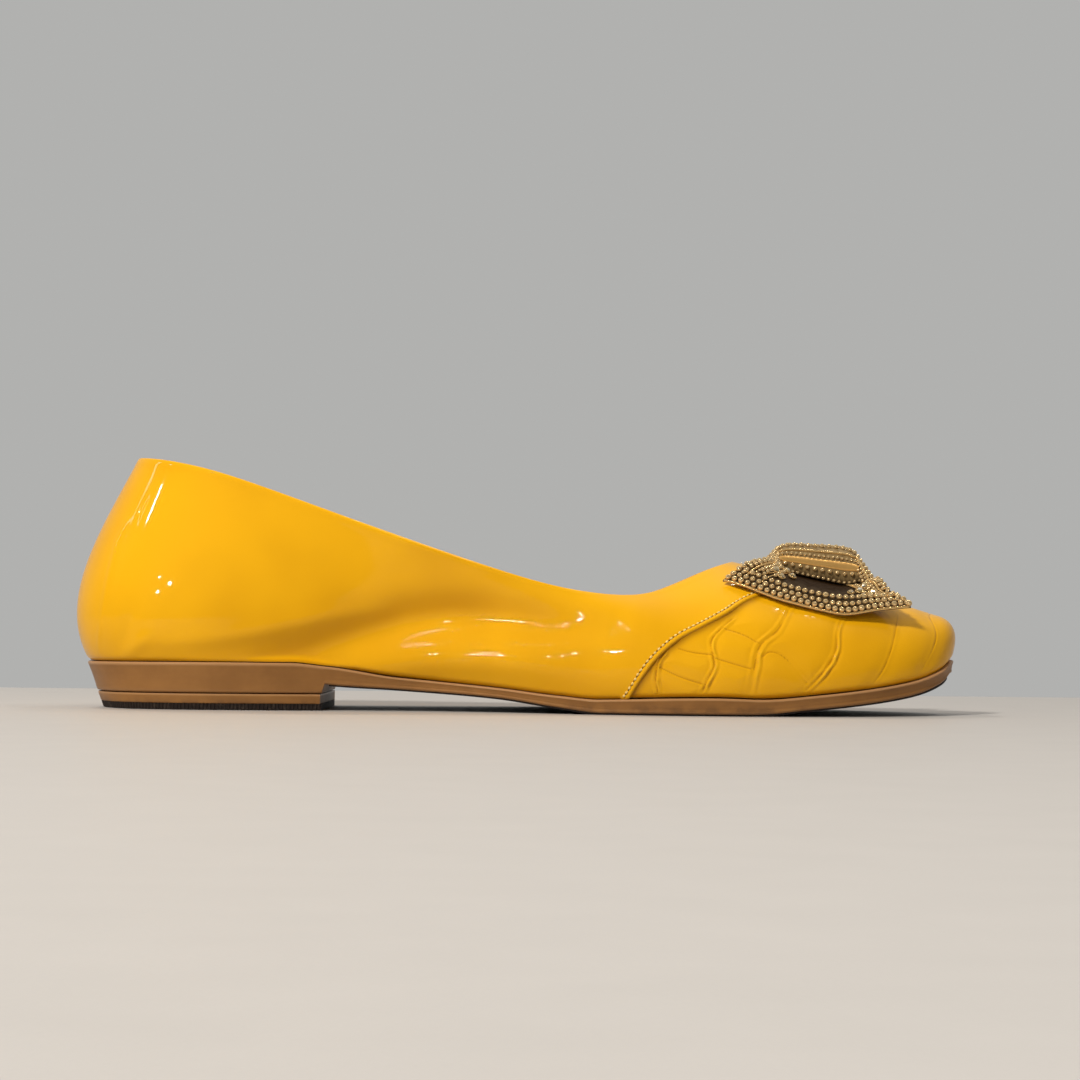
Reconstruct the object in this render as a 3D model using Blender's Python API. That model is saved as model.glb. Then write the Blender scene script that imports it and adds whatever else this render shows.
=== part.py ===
"""Left ballet flat: a hollow upper on a moulded sole with a low heel, an insole, and a bow on the toe.

Metres, +Z up, toe towards +X. The floor is z = 0, and the origin is the middle of the heel's rest.
The inner side of the foot is towards -Y.
"""

from collections import namedtuple

import bmesh
import bpy
import numpy as np
from mathutils import Vector
from mathutils.bvhtree import BVHTree

# Driving dimensions of the last and the sole
LAST_LENGTH = 0.2443
HEEL_REST_DISTANCE = 0.036
HEEL_SEAT_WIDTH = 0.0546
WAIST_WIDTH = 0.0492
BALL_WIDTH = 0.0790
HEEL_RISE = 0.0087
TOE_SPRING = 0.0114
SOLE_EDGE = 0.0044
SOLE_MARGIN = 0.0010
EDGE_ROUND = 0.0005
HEEL_LENGTH = 0.0675
BREAST_RUN = 0.0008
HEEL_LIFT = 0.0045
HEEL_BACK_RAKE = 0.37
SIDE_RAKE = 0.16
INSOLE_THICKNESS = 0.0020
CLEARANCE = 0.0003

# Driving dimensions of the upper
BACK_HEIGHT = 0.0703
QUARTER_HEIGHT = 0.0325
THROAT_HEIGHT = 0.0423
THROAT_DISTANCE = 0.1825
BACK_LEAN = 0.0131
COLLAR_WIDTH = 0.0600
HEEL_BULGE = 0.0101
SIDE_FULLNESS = 0.0045
VAMP_SWELL = 0.0045
WALL = 0.0016
VAMP_STEP = 0.0006
STEP_RAMP = 0.0006
RIM_ROLL = 0.0005

# Driving dimensions of the bow
BOW_DISTANCE = 0.2065
BOW_LENGTH = 0.0500
BOW_SPAN = 0.0520
BOW_PLATE = 0.0012
BOW_RISE = 0.0100
KNOT_LENGTH = 0.0252
KNOT_SPAN = 0.0180
KNOT_RISE = 0.0109
KNOT_TILT = 0.0012
KNOT_END_FALL = 0.0036
KNOT_BAND = 0.0012

# How finely the curved surfaces are divided, and how suddenly the knot rounds off at its ends
STEPS_PER_STATION = 3
WALL_STEPS = 12
BOW_STEPS_ALONG = 14
BOW_STEPS_ACROSS = 12
KNOT_STEPS_ALONG = 16
KNOT_STEPS_ACROSS = 12
KNOT_END_POWER = 6

# One row for each section of the last, from the back of the heel to the tip of the toe.
# along and top_along run along the last; half and centre give the bottom's width and its bend
# towards the outer side; belly and shoulder are the wall's lower and upper fullness.
Section = namedtuple("Section", "along half centre belly_out belly_up "
                                "shoulder_reach shoulder_out shoulder_down "
                                "top_along top_half top_centre top_height")

SEAT = HEEL_SEAT_WIDTH / 2
WAIST = WAIST_WIDTH / 2
BALL = BALL_WIDTH / 2
COLLAR = COLLAR_WIDTH / 2

SECTIONS = [
    Section(0.000 * LAST_LENGTH, 0.00 * SEAT, 0.000 * BALL, 1.00 * HEEL_BULGE, 0.29,
            0.82, 0.00 * VAMP_SWELL, 0.36,
            1.00 * BACK_LEAN, 0.00 * COLLAR, 0.000 * BALL, 1.000 * BACK_HEIGHT),
    Section(0.016 * LAST_LENGTH, 0.50 * SEAT, 0.000 * BALL, 0.95 * HEEL_BULGE, 0.29,
            0.76, 0.00 * VAMP_SWELL, 0.36,
            1.22 * BACK_LEAN, 0.31 * COLLAR, 0.000 * BALL, 0.995 * BACK_HEIGHT),
    Section(0.061 * LAST_LENGTH, 0.86 * SEAT, 0.000 * BALL, 0.80 * HEEL_BULGE, 0.30,
            0.60, 0.00 * VAMP_SWELL, 0.35,
            1.85 * BACK_LEAN, 0.55 * COLLAR, 0.005 * BALL, 0.978 * BACK_HEIGHT),
    Section(0.134 * LAST_LENGTH, 1.00 * SEAT, 0.005 * BALL, 0.60 * HEEL_BULGE, 0.30,
            0.50, 0.10 * VAMP_SWELL, 0.33,
            0.212 * THROAT_DISTANCE, 0.73 * COLLAR, 0.015 * BALL, 0.929 * BACK_HEIGHT),
    Section(0.235 * LAST_LENGTH, 0.97 * SEAT, 0.020 * BALL, 0.95 * SIDE_FULLNESS, 0.31,
            0.45, 0.15 * VAMP_SWELL, 0.32,
            0.332 * THROAT_DISTANCE, 0.84 * COLLAR, 0.035 * BALL, 0.824 * BACK_HEIGHT),
    Section(0.357 * LAST_LENGTH, 1.00 * WAIST, 0.075 * BALL, 0.60 * SIDE_FULLNESS, 0.30,
            0.40, 0.00 * VAMP_SWELL, 0.31,
            0.484 * THROAT_DISTANCE, 0.91 * COLLAR, 0.055 * BALL, 0.684 * BACK_HEIGHT),
    Section(0.467 * LAST_LENGTH, 0.73 * BALL, 0.080 * BALL, 0.75 * SIDE_FULLNESS, 0.30,
            0.40, 0.25 * VAMP_SWELL, 0.29,
            0.614 * THROAT_DISTANCE, 0.97 * COLLAR, 0.055 * BALL, 1.240 * QUARTER_HEIGHT),
    Section(0.560 * LAST_LENGTH, 0.88 * BALL, 0.045 * BALL, 0.95 * SIDE_FULLNESS, 0.32,
            0.42, 0.55 * VAMP_SWELL, 0.24,
            0.717 * THROAT_DISTANCE, 1.00 * COLLAR, 0.035 * BALL, 1.077 * QUARTER_HEIGHT),
    Section(0.649 * LAST_LENGTH, 0.99 * BALL, 0.015 * BALL, 1.00 * SIDE_FULLNESS, 0.36,
            0.45, 0.70 * VAMP_SWELL, 0.18,
            0.793 * THROAT_DISTANCE, 0.97 * COLLAR, 0.015 * BALL, 1.006 * QUARTER_HEIGHT),
    Section(0.730 * LAST_LENGTH, 1.00 * BALL, -0.010 * BALL, 0.90 * SIDE_FULLNESS, 0.38,
            0.45, 0.90 * VAMP_SWELL, 0.14,
            0.856 * THROAT_DISTANCE, 0.88 * COLLAR, -0.005 * BALL, 1.006 * QUARTER_HEIGHT),
    Section(0.811 * LAST_LENGTH, 0.92 * BALL, -0.045 * BALL, 0.78 * SIDE_FULLNESS, 0.42,
            0.47, 1.00 * VAMP_SWELL, 0.14,
            0.911 * THROAT_DISTANCE, 0.735 * COLLAR, -0.020 * BALL, 0.846 * THROAT_HEIGHT),
    Section(0.884 * LAST_LENGTH, 0.77 * BALL, -0.080 * BALL, 0.70 * SIDE_FULLNESS, 0.46,
            0.50, 0.90 * VAMP_SWELL, 0.18,
            0.953 * THROAT_DISTANCE, 0.555 * COLLAR, -0.035 * BALL, 0.927 * THROAT_HEIGHT),
    Section(0.941 * LAST_LENGTH, 0.57 * BALL, -0.110 * BALL, 0.65 * SIDE_FULLNESS, 0.52,
            0.57, 0.65 * VAMP_SWELL, 0.27,
            0.981 * THROAT_DISTANCE, 0.365 * COLLAR, -0.045 * BALL, 0.975 * THROAT_HEIGHT),
    Section(0.982 * LAST_LENGTH, 0.33 * BALL, -0.130 * BALL, 0.60 * SIDE_FULLNESS, 0.60,
            0.67, 0.35 * VAMP_SWELL, 0.39,
            0.996 * THROAT_DISTANCE, 0.18 * COLLAR, -0.055 * BALL, 0.994 * THROAT_HEIGHT),
    Section(1.000 * LAST_LENGTH, 0.00 * BALL, -0.140 * BALL, 0.55 * SIDE_FULLNESS, 0.64,
            0.72, 0.00 * VAMP_SWELL, 0.45,
            1.000 * THROAT_DISTANCE, 0.00 * COLLAR, -0.060 * BALL, 1.000 * THROAT_HEIGHT),
]
LAST_STATION = len(SECTIONS) - 1

# The sole's underside over the floor, without the heel: where along the last, how high
UNDERSIDE = [
    (0.000 * LAST_LENGTH, 1.000 * HEEL_RISE),
    (0.240 * LAST_LENGTH, 1.000 * HEEL_RISE),
    (0.285 * LAST_LENGTH, 0.780 * HEEL_RISE),
    (0.360 * LAST_LENGTH, 0.655 * HEEL_RISE),
    (0.475 * LAST_LENGTH, 0.425 * HEEL_RISE),
    (0.545 * LAST_LENGTH, 0.150 * HEEL_RISE),
    (0.592 * LAST_LENGTH, 0.000 * HEEL_RISE),
    (0.760 * LAST_LENGTH, 0.000 * TOE_SPRING),
    (0.825 * LAST_LENGTH, 0.120 * TOE_SPRING),
    (0.941 * LAST_LENGTH, 0.440 * TOE_SPRING),
    (0.986 * LAST_LENGTH, 0.760 * TOE_SPRING),
    (1.000 * LAST_LENGTH, 1.000 * TOE_SPRING),
]

# The height of the sole's edge: where along the last, how thick
EDGE = [
    (0.000 * LAST_LENGTH, 0.98 * SOLE_EDGE),
    (0.160 * LAST_LENGTH, 1.03 * SOLE_EDGE),
    (0.240 * LAST_LENGTH, 1.02 * SOLE_EDGE),
    (0.285 * LAST_LENGTH, 1.22 * SOLE_EDGE),
    (0.360 * LAST_LENGTH, 0.85 * SOLE_EDGE),
    (0.475 * LAST_LENGTH, 0.72 * SOLE_EDGE),
    (0.600 * LAST_LENGTH, 0.95 * SOLE_EDGE),
    (0.720 * LAST_LENGTH, 1.10 * SOLE_EDGE),
    (0.825 * LAST_LENGTH, 0.94 * SOLE_EDGE),
    (0.941 * LAST_LENGTH, 0.96 * SOLE_EDGE),
    (1.000 * LAST_LENGTH, 0.94 * SOLE_EDGE),
]

# The quarter's front edge over the vamp, seen from the side: how high, where along the last
QUARTER_EDGE = [
    (0.10 * THROAT_HEIGHT, 0.624 * LAST_LENGTH),
    (0.25 * THROAT_HEIGHT, 0.640 * LAST_LENGTH),
    (0.37 * THROAT_HEIGHT, 0.656 * LAST_LENGTH),
    (0.49 * THROAT_HEIGHT, 0.681 * LAST_LENGTH),
    (0.57 * THROAT_HEIGHT, 0.707 * LAST_LENGTH),
    (0.65 * THROAT_HEIGHT, 0.733 * LAST_LENGTH),
    (0.73 * THROAT_HEIGHT, 0.755 * LAST_LENGTH),
    (0.80 * THROAT_HEIGHT, 0.780 * LAST_LENGTH),
    (0.95 * THROAT_HEIGHT, 0.806 * LAST_LENGTH),
]

# One row for each line along a wing, from the middle of the bow to its outer rim: how far out,
# how far back and ahead it reaches, how much it bows out, and its height over the vamp's at the
# middle of the bow, at five places from its rear end to its front end
WingLine = namedtuple("WingLine", "out back ahead bow rear rear_half middle front_half front")

WING_LINES = [
    WingLine(0.000 * BOW_SPAN, 0.54 * KNOT_LENGTH, 0.54 * KNOT_LENGTH, 0.00,
             -0.10 * BOW_RISE, -0.10 * BOW_RISE, -0.10 * BOW_RISE, -0.10 * BOW_RISE, -0.10 * BOW_RISE),
    WingLine(0.160 * BOW_SPAN, 0.57 * KNOT_LENGTH, 0.57 * KNOT_LENGTH, 0.00,
             0.36 * BOW_RISE, 0.12 * BOW_RISE, 0.02 * BOW_RISE, -0.02 * BOW_RISE, 0.15 * BOW_RISE),
    WingLine(0.260 * BOW_SPAN, 0.31 * BOW_LENGTH, 0.34 * BOW_LENGTH, 0.01,
             0.74 * BOW_RISE, 0.22 * BOW_RISE, -0.07 * BOW_RISE, -0.12 * BOW_RISE, 0.18 * BOW_RISE),
    WingLine(0.335 * BOW_SPAN, 0.39 * BOW_LENGTH, 0.38 * BOW_LENGTH, 0.03,
             0.66 * BOW_RISE, 0.14 * BOW_RISE, -0.22 * BOW_RISE, -0.27 * BOW_RISE, -0.12 * BOW_RISE),
    WingLine(0.380 * BOW_SPAN, 0.46 * BOW_LENGTH, 0.45 * BOW_LENGTH, 0.06,
             0.46 * BOW_RISE, 0.03 * BOW_RISE, -0.22 * BOW_RISE, -0.34 * BOW_RISE, -0.38 * BOW_RISE),
    WingLine(0.415 * BOW_SPAN, 0.52 * BOW_LENGTH, 0.48 * BOW_LENGTH, 0.085,
             0.20 * BOW_RISE, -0.28 * BOW_RISE, -0.50 * BOW_RISE, -0.61 * BOW_RISE, -0.52 * BOW_RISE),
]

# Where the vamp is felt for, around each point of the wings
SEAT_PROBES = [
    (0.04 * BOW_LENGTH, 0.00 * BOW_SPAN),
    (-0.04 * BOW_LENGTH, 0.00 * BOW_SPAN),
    (0.00 * BOW_LENGTH, 0.04 * BOW_SPAN),
    (0.00 * BOW_LENGTH, -0.04 * BOW_SPAN),
]

# The knot's arch from one foot to the other: across, and up
KNOT_ARCH = [
    (-1.00, 0.00),
    (-0.92, 0.35),
    (-0.72, 0.72),
    (-0.40, 0.94),
    (0.00, 1.00),
    (0.40, 0.94),
    (0.72, 0.72),
    (0.92, 0.35),
    (1.00, 0.00),
]


def eased(rows):
    """Return a smooth function through the rows that never overshoots them."""
    xs = np.array([row[0] for row in rows])
    ys = np.array([row[1] for row in rows])
    steps = np.diff(xs)
    rates = np.diff(ys) / steps
    slopes = np.zeros(len(xs))
    for i in range(1, len(xs) - 1):
        before, after = rates[i - 1], rates[i]
        if before * after > 0:
            near = 2 * steps[i] + steps[i - 1]
            far = steps[i] + 2 * steps[i - 1]
            slopes[i] = (near + far) / (near / before + far / after)
    slopes[0] = rates[0]
    slopes[-1] = rates[-1]

    def value(x):
        x = min(max(x, xs[0]), xs[-1])
        i = min(int(np.searchsorted(xs, x, side="right")) - 1, len(steps) - 1)
        t = (x - xs[i]) / steps[i]
        rise = ys[i + 1] - ys[i]
        start = slopes[i] * steps[i] * t * (1 - t) ** 2
        finish = slopes[i + 1] * steps[i] * t * t * (t - 1)
        return float(ys[i] + rise * t * t * (3 - 2 * t) + start + finish)

    return value


def closed_spline(points):
    """Return a smooth closed curve through the points, which lie one unit of u apart."""
    points = np.array(points)
    count = len(points)
    system = np.zeros((count, count))
    for i in range(count):
        system[i, i] = 4
        system[i, (i + 1) % count] += 1
        system[i, (i - 1) % count] += 1
    slopes = np.linalg.solve(system, 3 * (np.roll(points, -1, axis=0) - np.roll(points, 1, axis=0)))

    def value(u):
        i = int(np.floor(u)) % count
        t = u - np.floor(u)
        a, b = points[i], points[(i + 1) % count]
        start = slopes[i] * t * (1 - t) ** 2
        finish = slopes[(i + 1) % count] * t * t * (t - 1)
        return a + (b - a) * t * t * (3 - 2 * t) + start + finish

    return value


underside = eased(UNDERSIDE)
edge_height = eased(EDGE)
quarter_edge = eased(QUARTER_EDGE)


def sole_top(x):
    """Return the height of the sole's upper face at x."""
    return underside(x) + edge_height(x)


def both_sides(point_of):
    """Return one point for each station: along the inner side to the toe, back along the outer."""
    inner = [point_of(section, -1) for section in SECTIONS]
    outer = [point_of(section, 1) for section in SECTIONS[-2:0:-1]]
    return inner + outer


def bottom_point(section, side):
    """Return the point of the last's bottom edge at a section, on the side of the given sign."""
    return (section.along, section.centre + side * section.half)


def top_point(section, side):
    """Return the topline's point of a section."""
    return (section.top_along, section.top_centre + side * section.top_half, section.top_height)


bottom_edge = closed_spline(both_sides(bottom_point))
topline = closed_spline(both_sides(top_point))


def outward(curve, u):
    """Return the level unit vector that points out of a closed curve at u."""
    step = 0.01
    along = curve(u + step)[:2] - curve(u - step)[:2]
    normal = np.array([along[1], -along[0]])
    return normal / np.linalg.norm(normal)


def wall_foot(u):
    """Return the point of the wall's outer face just over the sole."""
    plan = bottom_edge(u)
    return np.array([plan[0], plan[1], sole_top(plan[0]) + CLEARANCE])


def wall_controls():
    """Return the two curves that give the wall its fullness: low at the belly, high at the shoulder."""
    stations = len(SECTIONS) * 2 - 2
    bellies, shoulders = [], []
    for u in range(stations):
        section = SECTIONS[min(u, stations - u)]
        foot = wall_foot(u)
        top = topline(u)
        wall = top[2] - foot[2]
        belly = foot.copy()
        belly[:2] += outward(bottom_edge, u) * section.belly_out
        belly[2] += section.belly_up * wall
        shoulder = top.copy()
        shoulder[:2] += section.shoulder_reach * (foot[:2] - top[:2])
        shoulder[:2] += outward(topline, u) * section.shoulder_out
        shoulder[2] -= section.shoulder_down * wall
        bellies.append(belly)
        shoulders.append(shoulder)
    return closed_spline(bellies), closed_spline(shoulders)


belly_curve, shoulder_curve = wall_controls()


def wall_point(u, v):
    """Return the point of the wall's outer face, u round the shoe, v from the sole to the topline."""
    w = 1 - v
    low = w ** 3 * wall_foot(u) + 3 * w * w * v * belly_curve(u)
    return low + 3 * w * v * v * shoulder_curve(u) + v ** 3 * topline(u)


def wall_normal(u, v):
    """Return the unit vector that points out of the wall at u and v."""
    step = 0.01
    low, high = max(v - step, 0), min(v + step, 1)
    around = wall_point(u + step, v) - wall_point(u - step, v)
    up = wall_point(u, high) - wall_point(u, low)
    normal = np.cross(around, up)
    return normal / np.linalg.norm(normal)


def parameters(low=0.0, high=LAST_STATION):
    """Return the values of u from low to high along one side, with a point at each end."""
    count = max(int(round((high - low) * STEPS_PER_STATION)), 1)
    return [low + (high - low) * i / count for i in range(count + 1)]


def parameter_at(x):
    """Return the u at which the bottom edge's inner side passes x."""
    low, high = 0.0, float(LAST_STATION)
    for _ in range(50):
        middle = (low + high) / 2
        if bottom_edge(middle)[0] < x:
            low = middle
        else:
            high = middle
    return (low + high) / 2


def around_shoe():
    """Return the values of u all round the shoe, each with whether it is on the heel.

    Sole, insole and upper share them, so that their faces stay the same distance apart.
    """
    breast = parameter_at(HEEL_LENGTH)
    front = parameter_at(HEEL_LENGTH + BREAST_RUN)
    inner_side = [(u, True) for u in parameters(0.0, breast)] + [(u, False) for u in parameters(front)]
    return inner_side + [(-u, heel) for u, heel in inner_side[-2:0:-1]]


def mesh_object(name, bm, colour, roughness, metallic=0.0):
    """Make an object from a bmesh, with its own material, on the last."""
    bmesh.ops.recalc_face_normals(bm, faces=bm.faces)
    mesh = bpy.data.meshes.new(name)
    bm.to_mesh(mesh)
    bm.free()
    mesh.shade_smooth()
    mesh.set_sharp_from_angle(angle=np.radians(35))
    finish = bpy.data.materials.new(name + "_finish")
    finish.use_nodes = True
    shader = finish.node_tree.nodes["Principled BSDF"]
    shader.inputs["Base Color"].default_value = (*colour, 1)
    shader.inputs["Roughness"].default_value = roughness
    shader.inputs["Metallic"].default_value = metallic
    mesh.materials.append(finish)
    piece = bpy.data.objects.new(name, mesh)
    bpy.context.collection.objects.link(piece)
    piece.parent = last
    return piece


def add_ring(bm, points):
    """Add a closed ring of vertices."""
    return [bm.verts.new(Vector(point)) for point in points]


def join_rings(bm, lower, upper):
    """Add the band of faces between two rings of equal length."""
    count = len(lower)
    for i in range(count):
        j = (i + 1) % count
        bm.faces.new((lower[i], lower[j], upper[j], upper[i]))


def ladder(bm, ring, rungs):
    """Close a ring that has its two ends at 0 and rungs, with a face between each pair of rungs."""
    count = len(ring)
    for i in range(rungs):
        corners = [ring[i], ring[i + 1], ring[(count - i - 1) % count], ring[(count - i) % count]]
        unique = list(dict.fromkeys(corners))
        if len(unique) > 2:
            bm.faces.new(unique)


def sole_ring_point(u, drop, inset):
    """Return a plan point of the sole's side, a drop below its top edge and set in."""
    normal = outward(bottom_edge, u)
    backward = max(-normal[0], 0.0)
    rake = SIDE_RAKE + (HEEL_BACK_RAKE - SIDE_RAKE) * backward ** 2
    return bottom_edge(u) + normal * (SOLE_MARGIN - inset - rake * drop)


def sole_side(u, floor_of):
    """Return the four points of the sole's side at u, from its top edge to its lower one."""
    top_plan = sole_ring_point(u, 0, EDGE_ROUND)
    crest = sole_ring_point(u, 0, 0)
    top = sole_top(top_plan[0])
    crest_z = sole_top(crest[0]) - EDGE_ROUND
    low = floor_of(crest[0])
    drop = crest_z - low - EDGE_ROUND
    foot = sole_ring_point(u, drop, 0)
    inner = sole_ring_point(u, drop, EDGE_ROUND)
    low = floor_of(inner[0])
    return [(*top_plan, top), (*crest, crest_z), (*foot, low + EDGE_ROUND), (*inner, low)]


def build_outsole():
    """Build the moulded sole: forepart, waist, heel seat and the heel down to its top piece."""
    rows = around_shoe()
    rungs = len(rows) // 2
    heel_floor = HEEL_LIFT + CLEARANCE
    sides = [sole_side(u, (lambda x: heel_floor) if heel else underside) for u, heel in rows]
    bm = bmesh.new()
    rings = [add_ring(bm, [side[level] for side in sides]) for level in range(4)]
    for upper, lower in zip(rings, rings[1:]):
        join_rings(bm, lower, upper)
    ladder(bm, rings[0], rungs)
    ladder(bm, rings[-1], rungs)
    return mesh_object("outsole", bm, (0.30, 0.14, 0.055), 0.45)


def build_heel_lift():
    """Build the heel's top piece, which follows the heel's side below the groove."""
    inner_side = parameters(0.0, parameter_at(HEEL_LENGTH))
    us = inner_side + [-u for u in inner_side[:0:-1]]
    bm = bmesh.new()
    rings = []
    for height, inset in ((HEEL_LIFT, EDGE_ROUND), (HEEL_LIFT - EDGE_ROUND, 0),
                          (EDGE_ROUND, 0), (0, EDGE_ROUND)):
        ring = []
        for u in us:
            crest = bottom_edge(u)
            drop = sole_top(crest[0]) - EDGE_ROUND - height
            ring.append((*sole_ring_point(u, drop, inset), height))
        rings.append(add_ring(bm, ring))
    for upper, lower in zip(rings, rings[1:]):
        join_rings(bm, lower, upper)
    for ring in (rings[0], rings[-1]):
        bm.faces.new(ring)
    return mesh_object("heel_lift", bm, (0.022, 0.014, 0.010), 0.6)


def build_insole():
    """Build the insole, inside the upper's wall and on the sole."""
    us = [u for u, _ in around_shoe()]
    rungs = len(us) // 2
    bm = bmesh.new()
    rings = []
    inset = WALL + CLEARANCE
    for height in (CLEARANCE + INSOLE_THICKNESS, CLEARANCE):
        ring = []
        for u in us:
            plan = bottom_edge(u) - outward(bottom_edge, u) * inset
            ring.append((*plan, sole_top(plan[0]) + height))
        rings.append(add_ring(bm, ring))
    join_rings(bm, rings[1], rings[0])
    ladder(bm, rings[0], rungs)
    ladder(bm, rings[1], rungs)
    return mesh_object("insole", bm, (0.62, 0.48, 0.30), 0.7)


def ahead_of_quarter(point):
    """Return how far a point lies in front of the quarter's edge."""
    return point[0] - quarter_edge(point[2])


def split_along(bm, faces, measure):
    """Cut the faces along the line where the measure of a vertex is zero."""
    edges = {edge for face in faces for edge in face.edges}
    cuts = []
    for edge in edges:
        a, b = edge.verts
        before, after = measure(a.co), measure(b.co)
        if before * after < 0:
            share = before / (before - after)
            _, vertex = bmesh.utils.edge_split(edge, a, share)
            cuts.append(vertex)
    return bmesh.ops.connect_verts(bm, verts=cuts)


def build_upper():
    """Build the hollow upper: outer and inner face, topline, and the step at the quarter's edge."""
    us = [u for u, _ in around_shoe()]
    vs = [j / WALL_STEPS for j in range(WALL_STEPS + 1)]
    bm = bmesh.new()
    mark = bm.faces.layers.int.new("outer")
    outer_rings, inner_rings = [], []
    for v in vs:
        outer, inner = [], []
        for u in us:
            point = wall_point(u, v)
            normal = wall_normal(u, v)
            if v == 0:
                plan = point[:2] - outward(bottom_edge, u) * WALL
                inside = np.array([*plan, sole_top(plan[0]) + CLEARANCE])
            else:
                inside = point - normal * WALL
            outer.append(point)
            inner.append(inside)
        outer_rings.append(add_ring(bm, outer))
        inner_rings.append(add_ring(bm, inner))
    crown = []
    for u in us:
        lip = wall_point(u, 1)
        rise = lip - wall_point(u, 0.97)
        rise /= np.linalg.norm(rise)
        crown.append(lip - wall_normal(u, 1) * WALL / 2 + rise * RIM_ROLL)
    crown_ring = add_ring(bm, crown)
    for lower, upper in zip(outer_rings, outer_rings[1:]):
        join_rings(bm, lower, upper)
    for face in bm.faces:
        face[mark] = 1
    for lower, upper in zip(inner_rings, inner_rings[1:]):
        join_rings(bm, upper, lower)
    join_rings(bm, outer_rings[-1], crown_ring)
    join_rings(bm, crown_ring, inner_rings[-1])
    join_rings(bm, inner_rings[0], outer_rings[0])
    for shift in (0.0, STEP_RAMP):
        faces = [face for face in bm.faces if face[mark]]
        split_along(bm, faces, lambda point: ahead_of_quarter(point) + shift)
    bmesh.ops.recalc_face_normals(bm, faces=bm.faces)
    bm.normal_update()
    moves = []
    for vertex in bm.verts:
        if any(face[mark] for face in vertex.link_faces):
            behind = -ahead_of_quarter(vertex.co)
            share = min(max(behind / STEP_RAMP, 0.0), 1.0)
            outer_part = sum((face.normal for face in vertex.link_faces if face[mark]), Vector())
            moves.append((vertex, outer_part.normalized() * VAMP_STEP * share))
    for vertex, move in moves:
        if abs(vertex.co.z - sole_top(vertex.co.x) - CLEARANCE) < CLEARANCE / 3:
            move.z = 0
        vertex.co += move
    return mesh_object("upper", bm, (0.93, 0.48, 0.006), 0.12)


def grid_solid(bm, top, bottom):
    """Close two grids of points, of the same size, to one body."""
    rows, columns = len(top), len(top[0])
    high = [[bm.verts.new(Vector(point)) for point in row] for row in top]
    low = [[bm.verts.new(Vector(point)) for point in row] for row in bottom]
    for i in range(rows - 1):
        for j in range(columns - 1):
            bm.faces.new((high[i][j], high[i][j + 1], high[i + 1][j + 1], high[i + 1][j]))
            bm.faces.new((low[i][j], low[i + 1][j], low[i + 1][j + 1], low[i][j + 1]))
    border = [(0, j) for j in range(columns)] + [(i, columns - 1) for i in range(1, rows)]
    border += [(rows - 1, j) for j in range(columns - 2, -1, -1)] + [(i, 0) for i in range(rows - 2, 0, -1)]
    count = len(border)
    for k in range(count):
        (a, b), (c, d) = border[k], border[(k + 1) % count]
        bm.faces.new((high[a][b], low[a][b], low[c][d], high[c][d]))


def wing_lines():
    """Return smooth functions of the share across a wing, one for each column of the table."""
    shares = [i / (len(WING_LINES) - 1) for i in range(len(WING_LINES))]
    columns = {}
    for field in WingLine._fields:
        columns[field] = eased([(s, getattr(row, field)) for s, row in zip(shares, WING_LINES)])
    return columns


def vamp_height(tree, x, y):
    """Return the height of the upper's outer face under or over a plan point."""
    high = BACK_HEIGHT * 2
    hit = tree.ray_cast(Vector((x, y, high)), Vector((0, 0, -1)))[0]
    return hit.z if hit else sole_top(x)


def wing_point(lines, tree, middle_y, across, along):
    """Return the top point of the wings: across from -1 to 1, along from -1 to 1."""
    share = abs(across)
    reach = lines["back"](share) if along < 0 else lines["ahead"](share)
    x = BOW_DISTANCE + along * reach
    bulge = lines["bow"](share) * BOW_SPAN * (1 - along ** 2)
    y = middle_y + np.sign(across) * (lines["out"](share) + bulge)
    places = [(i / 2 - 1, lines[name](share)) for i, name in enumerate(WingLine._fields[4:])]
    z = vamp_height(tree, BOW_DISTANCE, middle_y) + eased(places)(along)
    around = [(x, y)] + [(x + dx, y + dy) for dx, dy in SEAT_PROBES]
    seat = max(vamp_height(tree, *plan) for plan in around) + CLEARANCE + BOW_PLATE
    return np.array([x, y, max(z, seat)])


def build_bow_wings(upper, middle_y):
    """Build the two dished wings in one plate that follows the vamp."""
    tree = BVHTree.FromObject(upper, bpy.context.evaluated_depsgraph_get())
    lines = wing_lines()
    top, bottom = [], []
    for i in range(BOW_STEPS_ACROSS * 2 + 1):
        across = i / BOW_STEPS_ACROSS - 1
        high_row, low_row = [], []
        for j in range(BOW_STEPS_ALONG + 1):
            along = 2 * j / BOW_STEPS_ALONG - 1
            point = wing_point(lines, tree, middle_y, across, along)
            high_row.append(point)
            low_row.append(point - np.array([0, 0, BOW_PLATE]))
        top.append(high_row)
        bottom.append(low_row)
    bm = bmesh.new()
    grid_solid(bm, top, bottom)
    return mesh_object("bow_wings", bm, (0.62, 0.42, 0.16), 0.3, 1.0)


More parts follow.
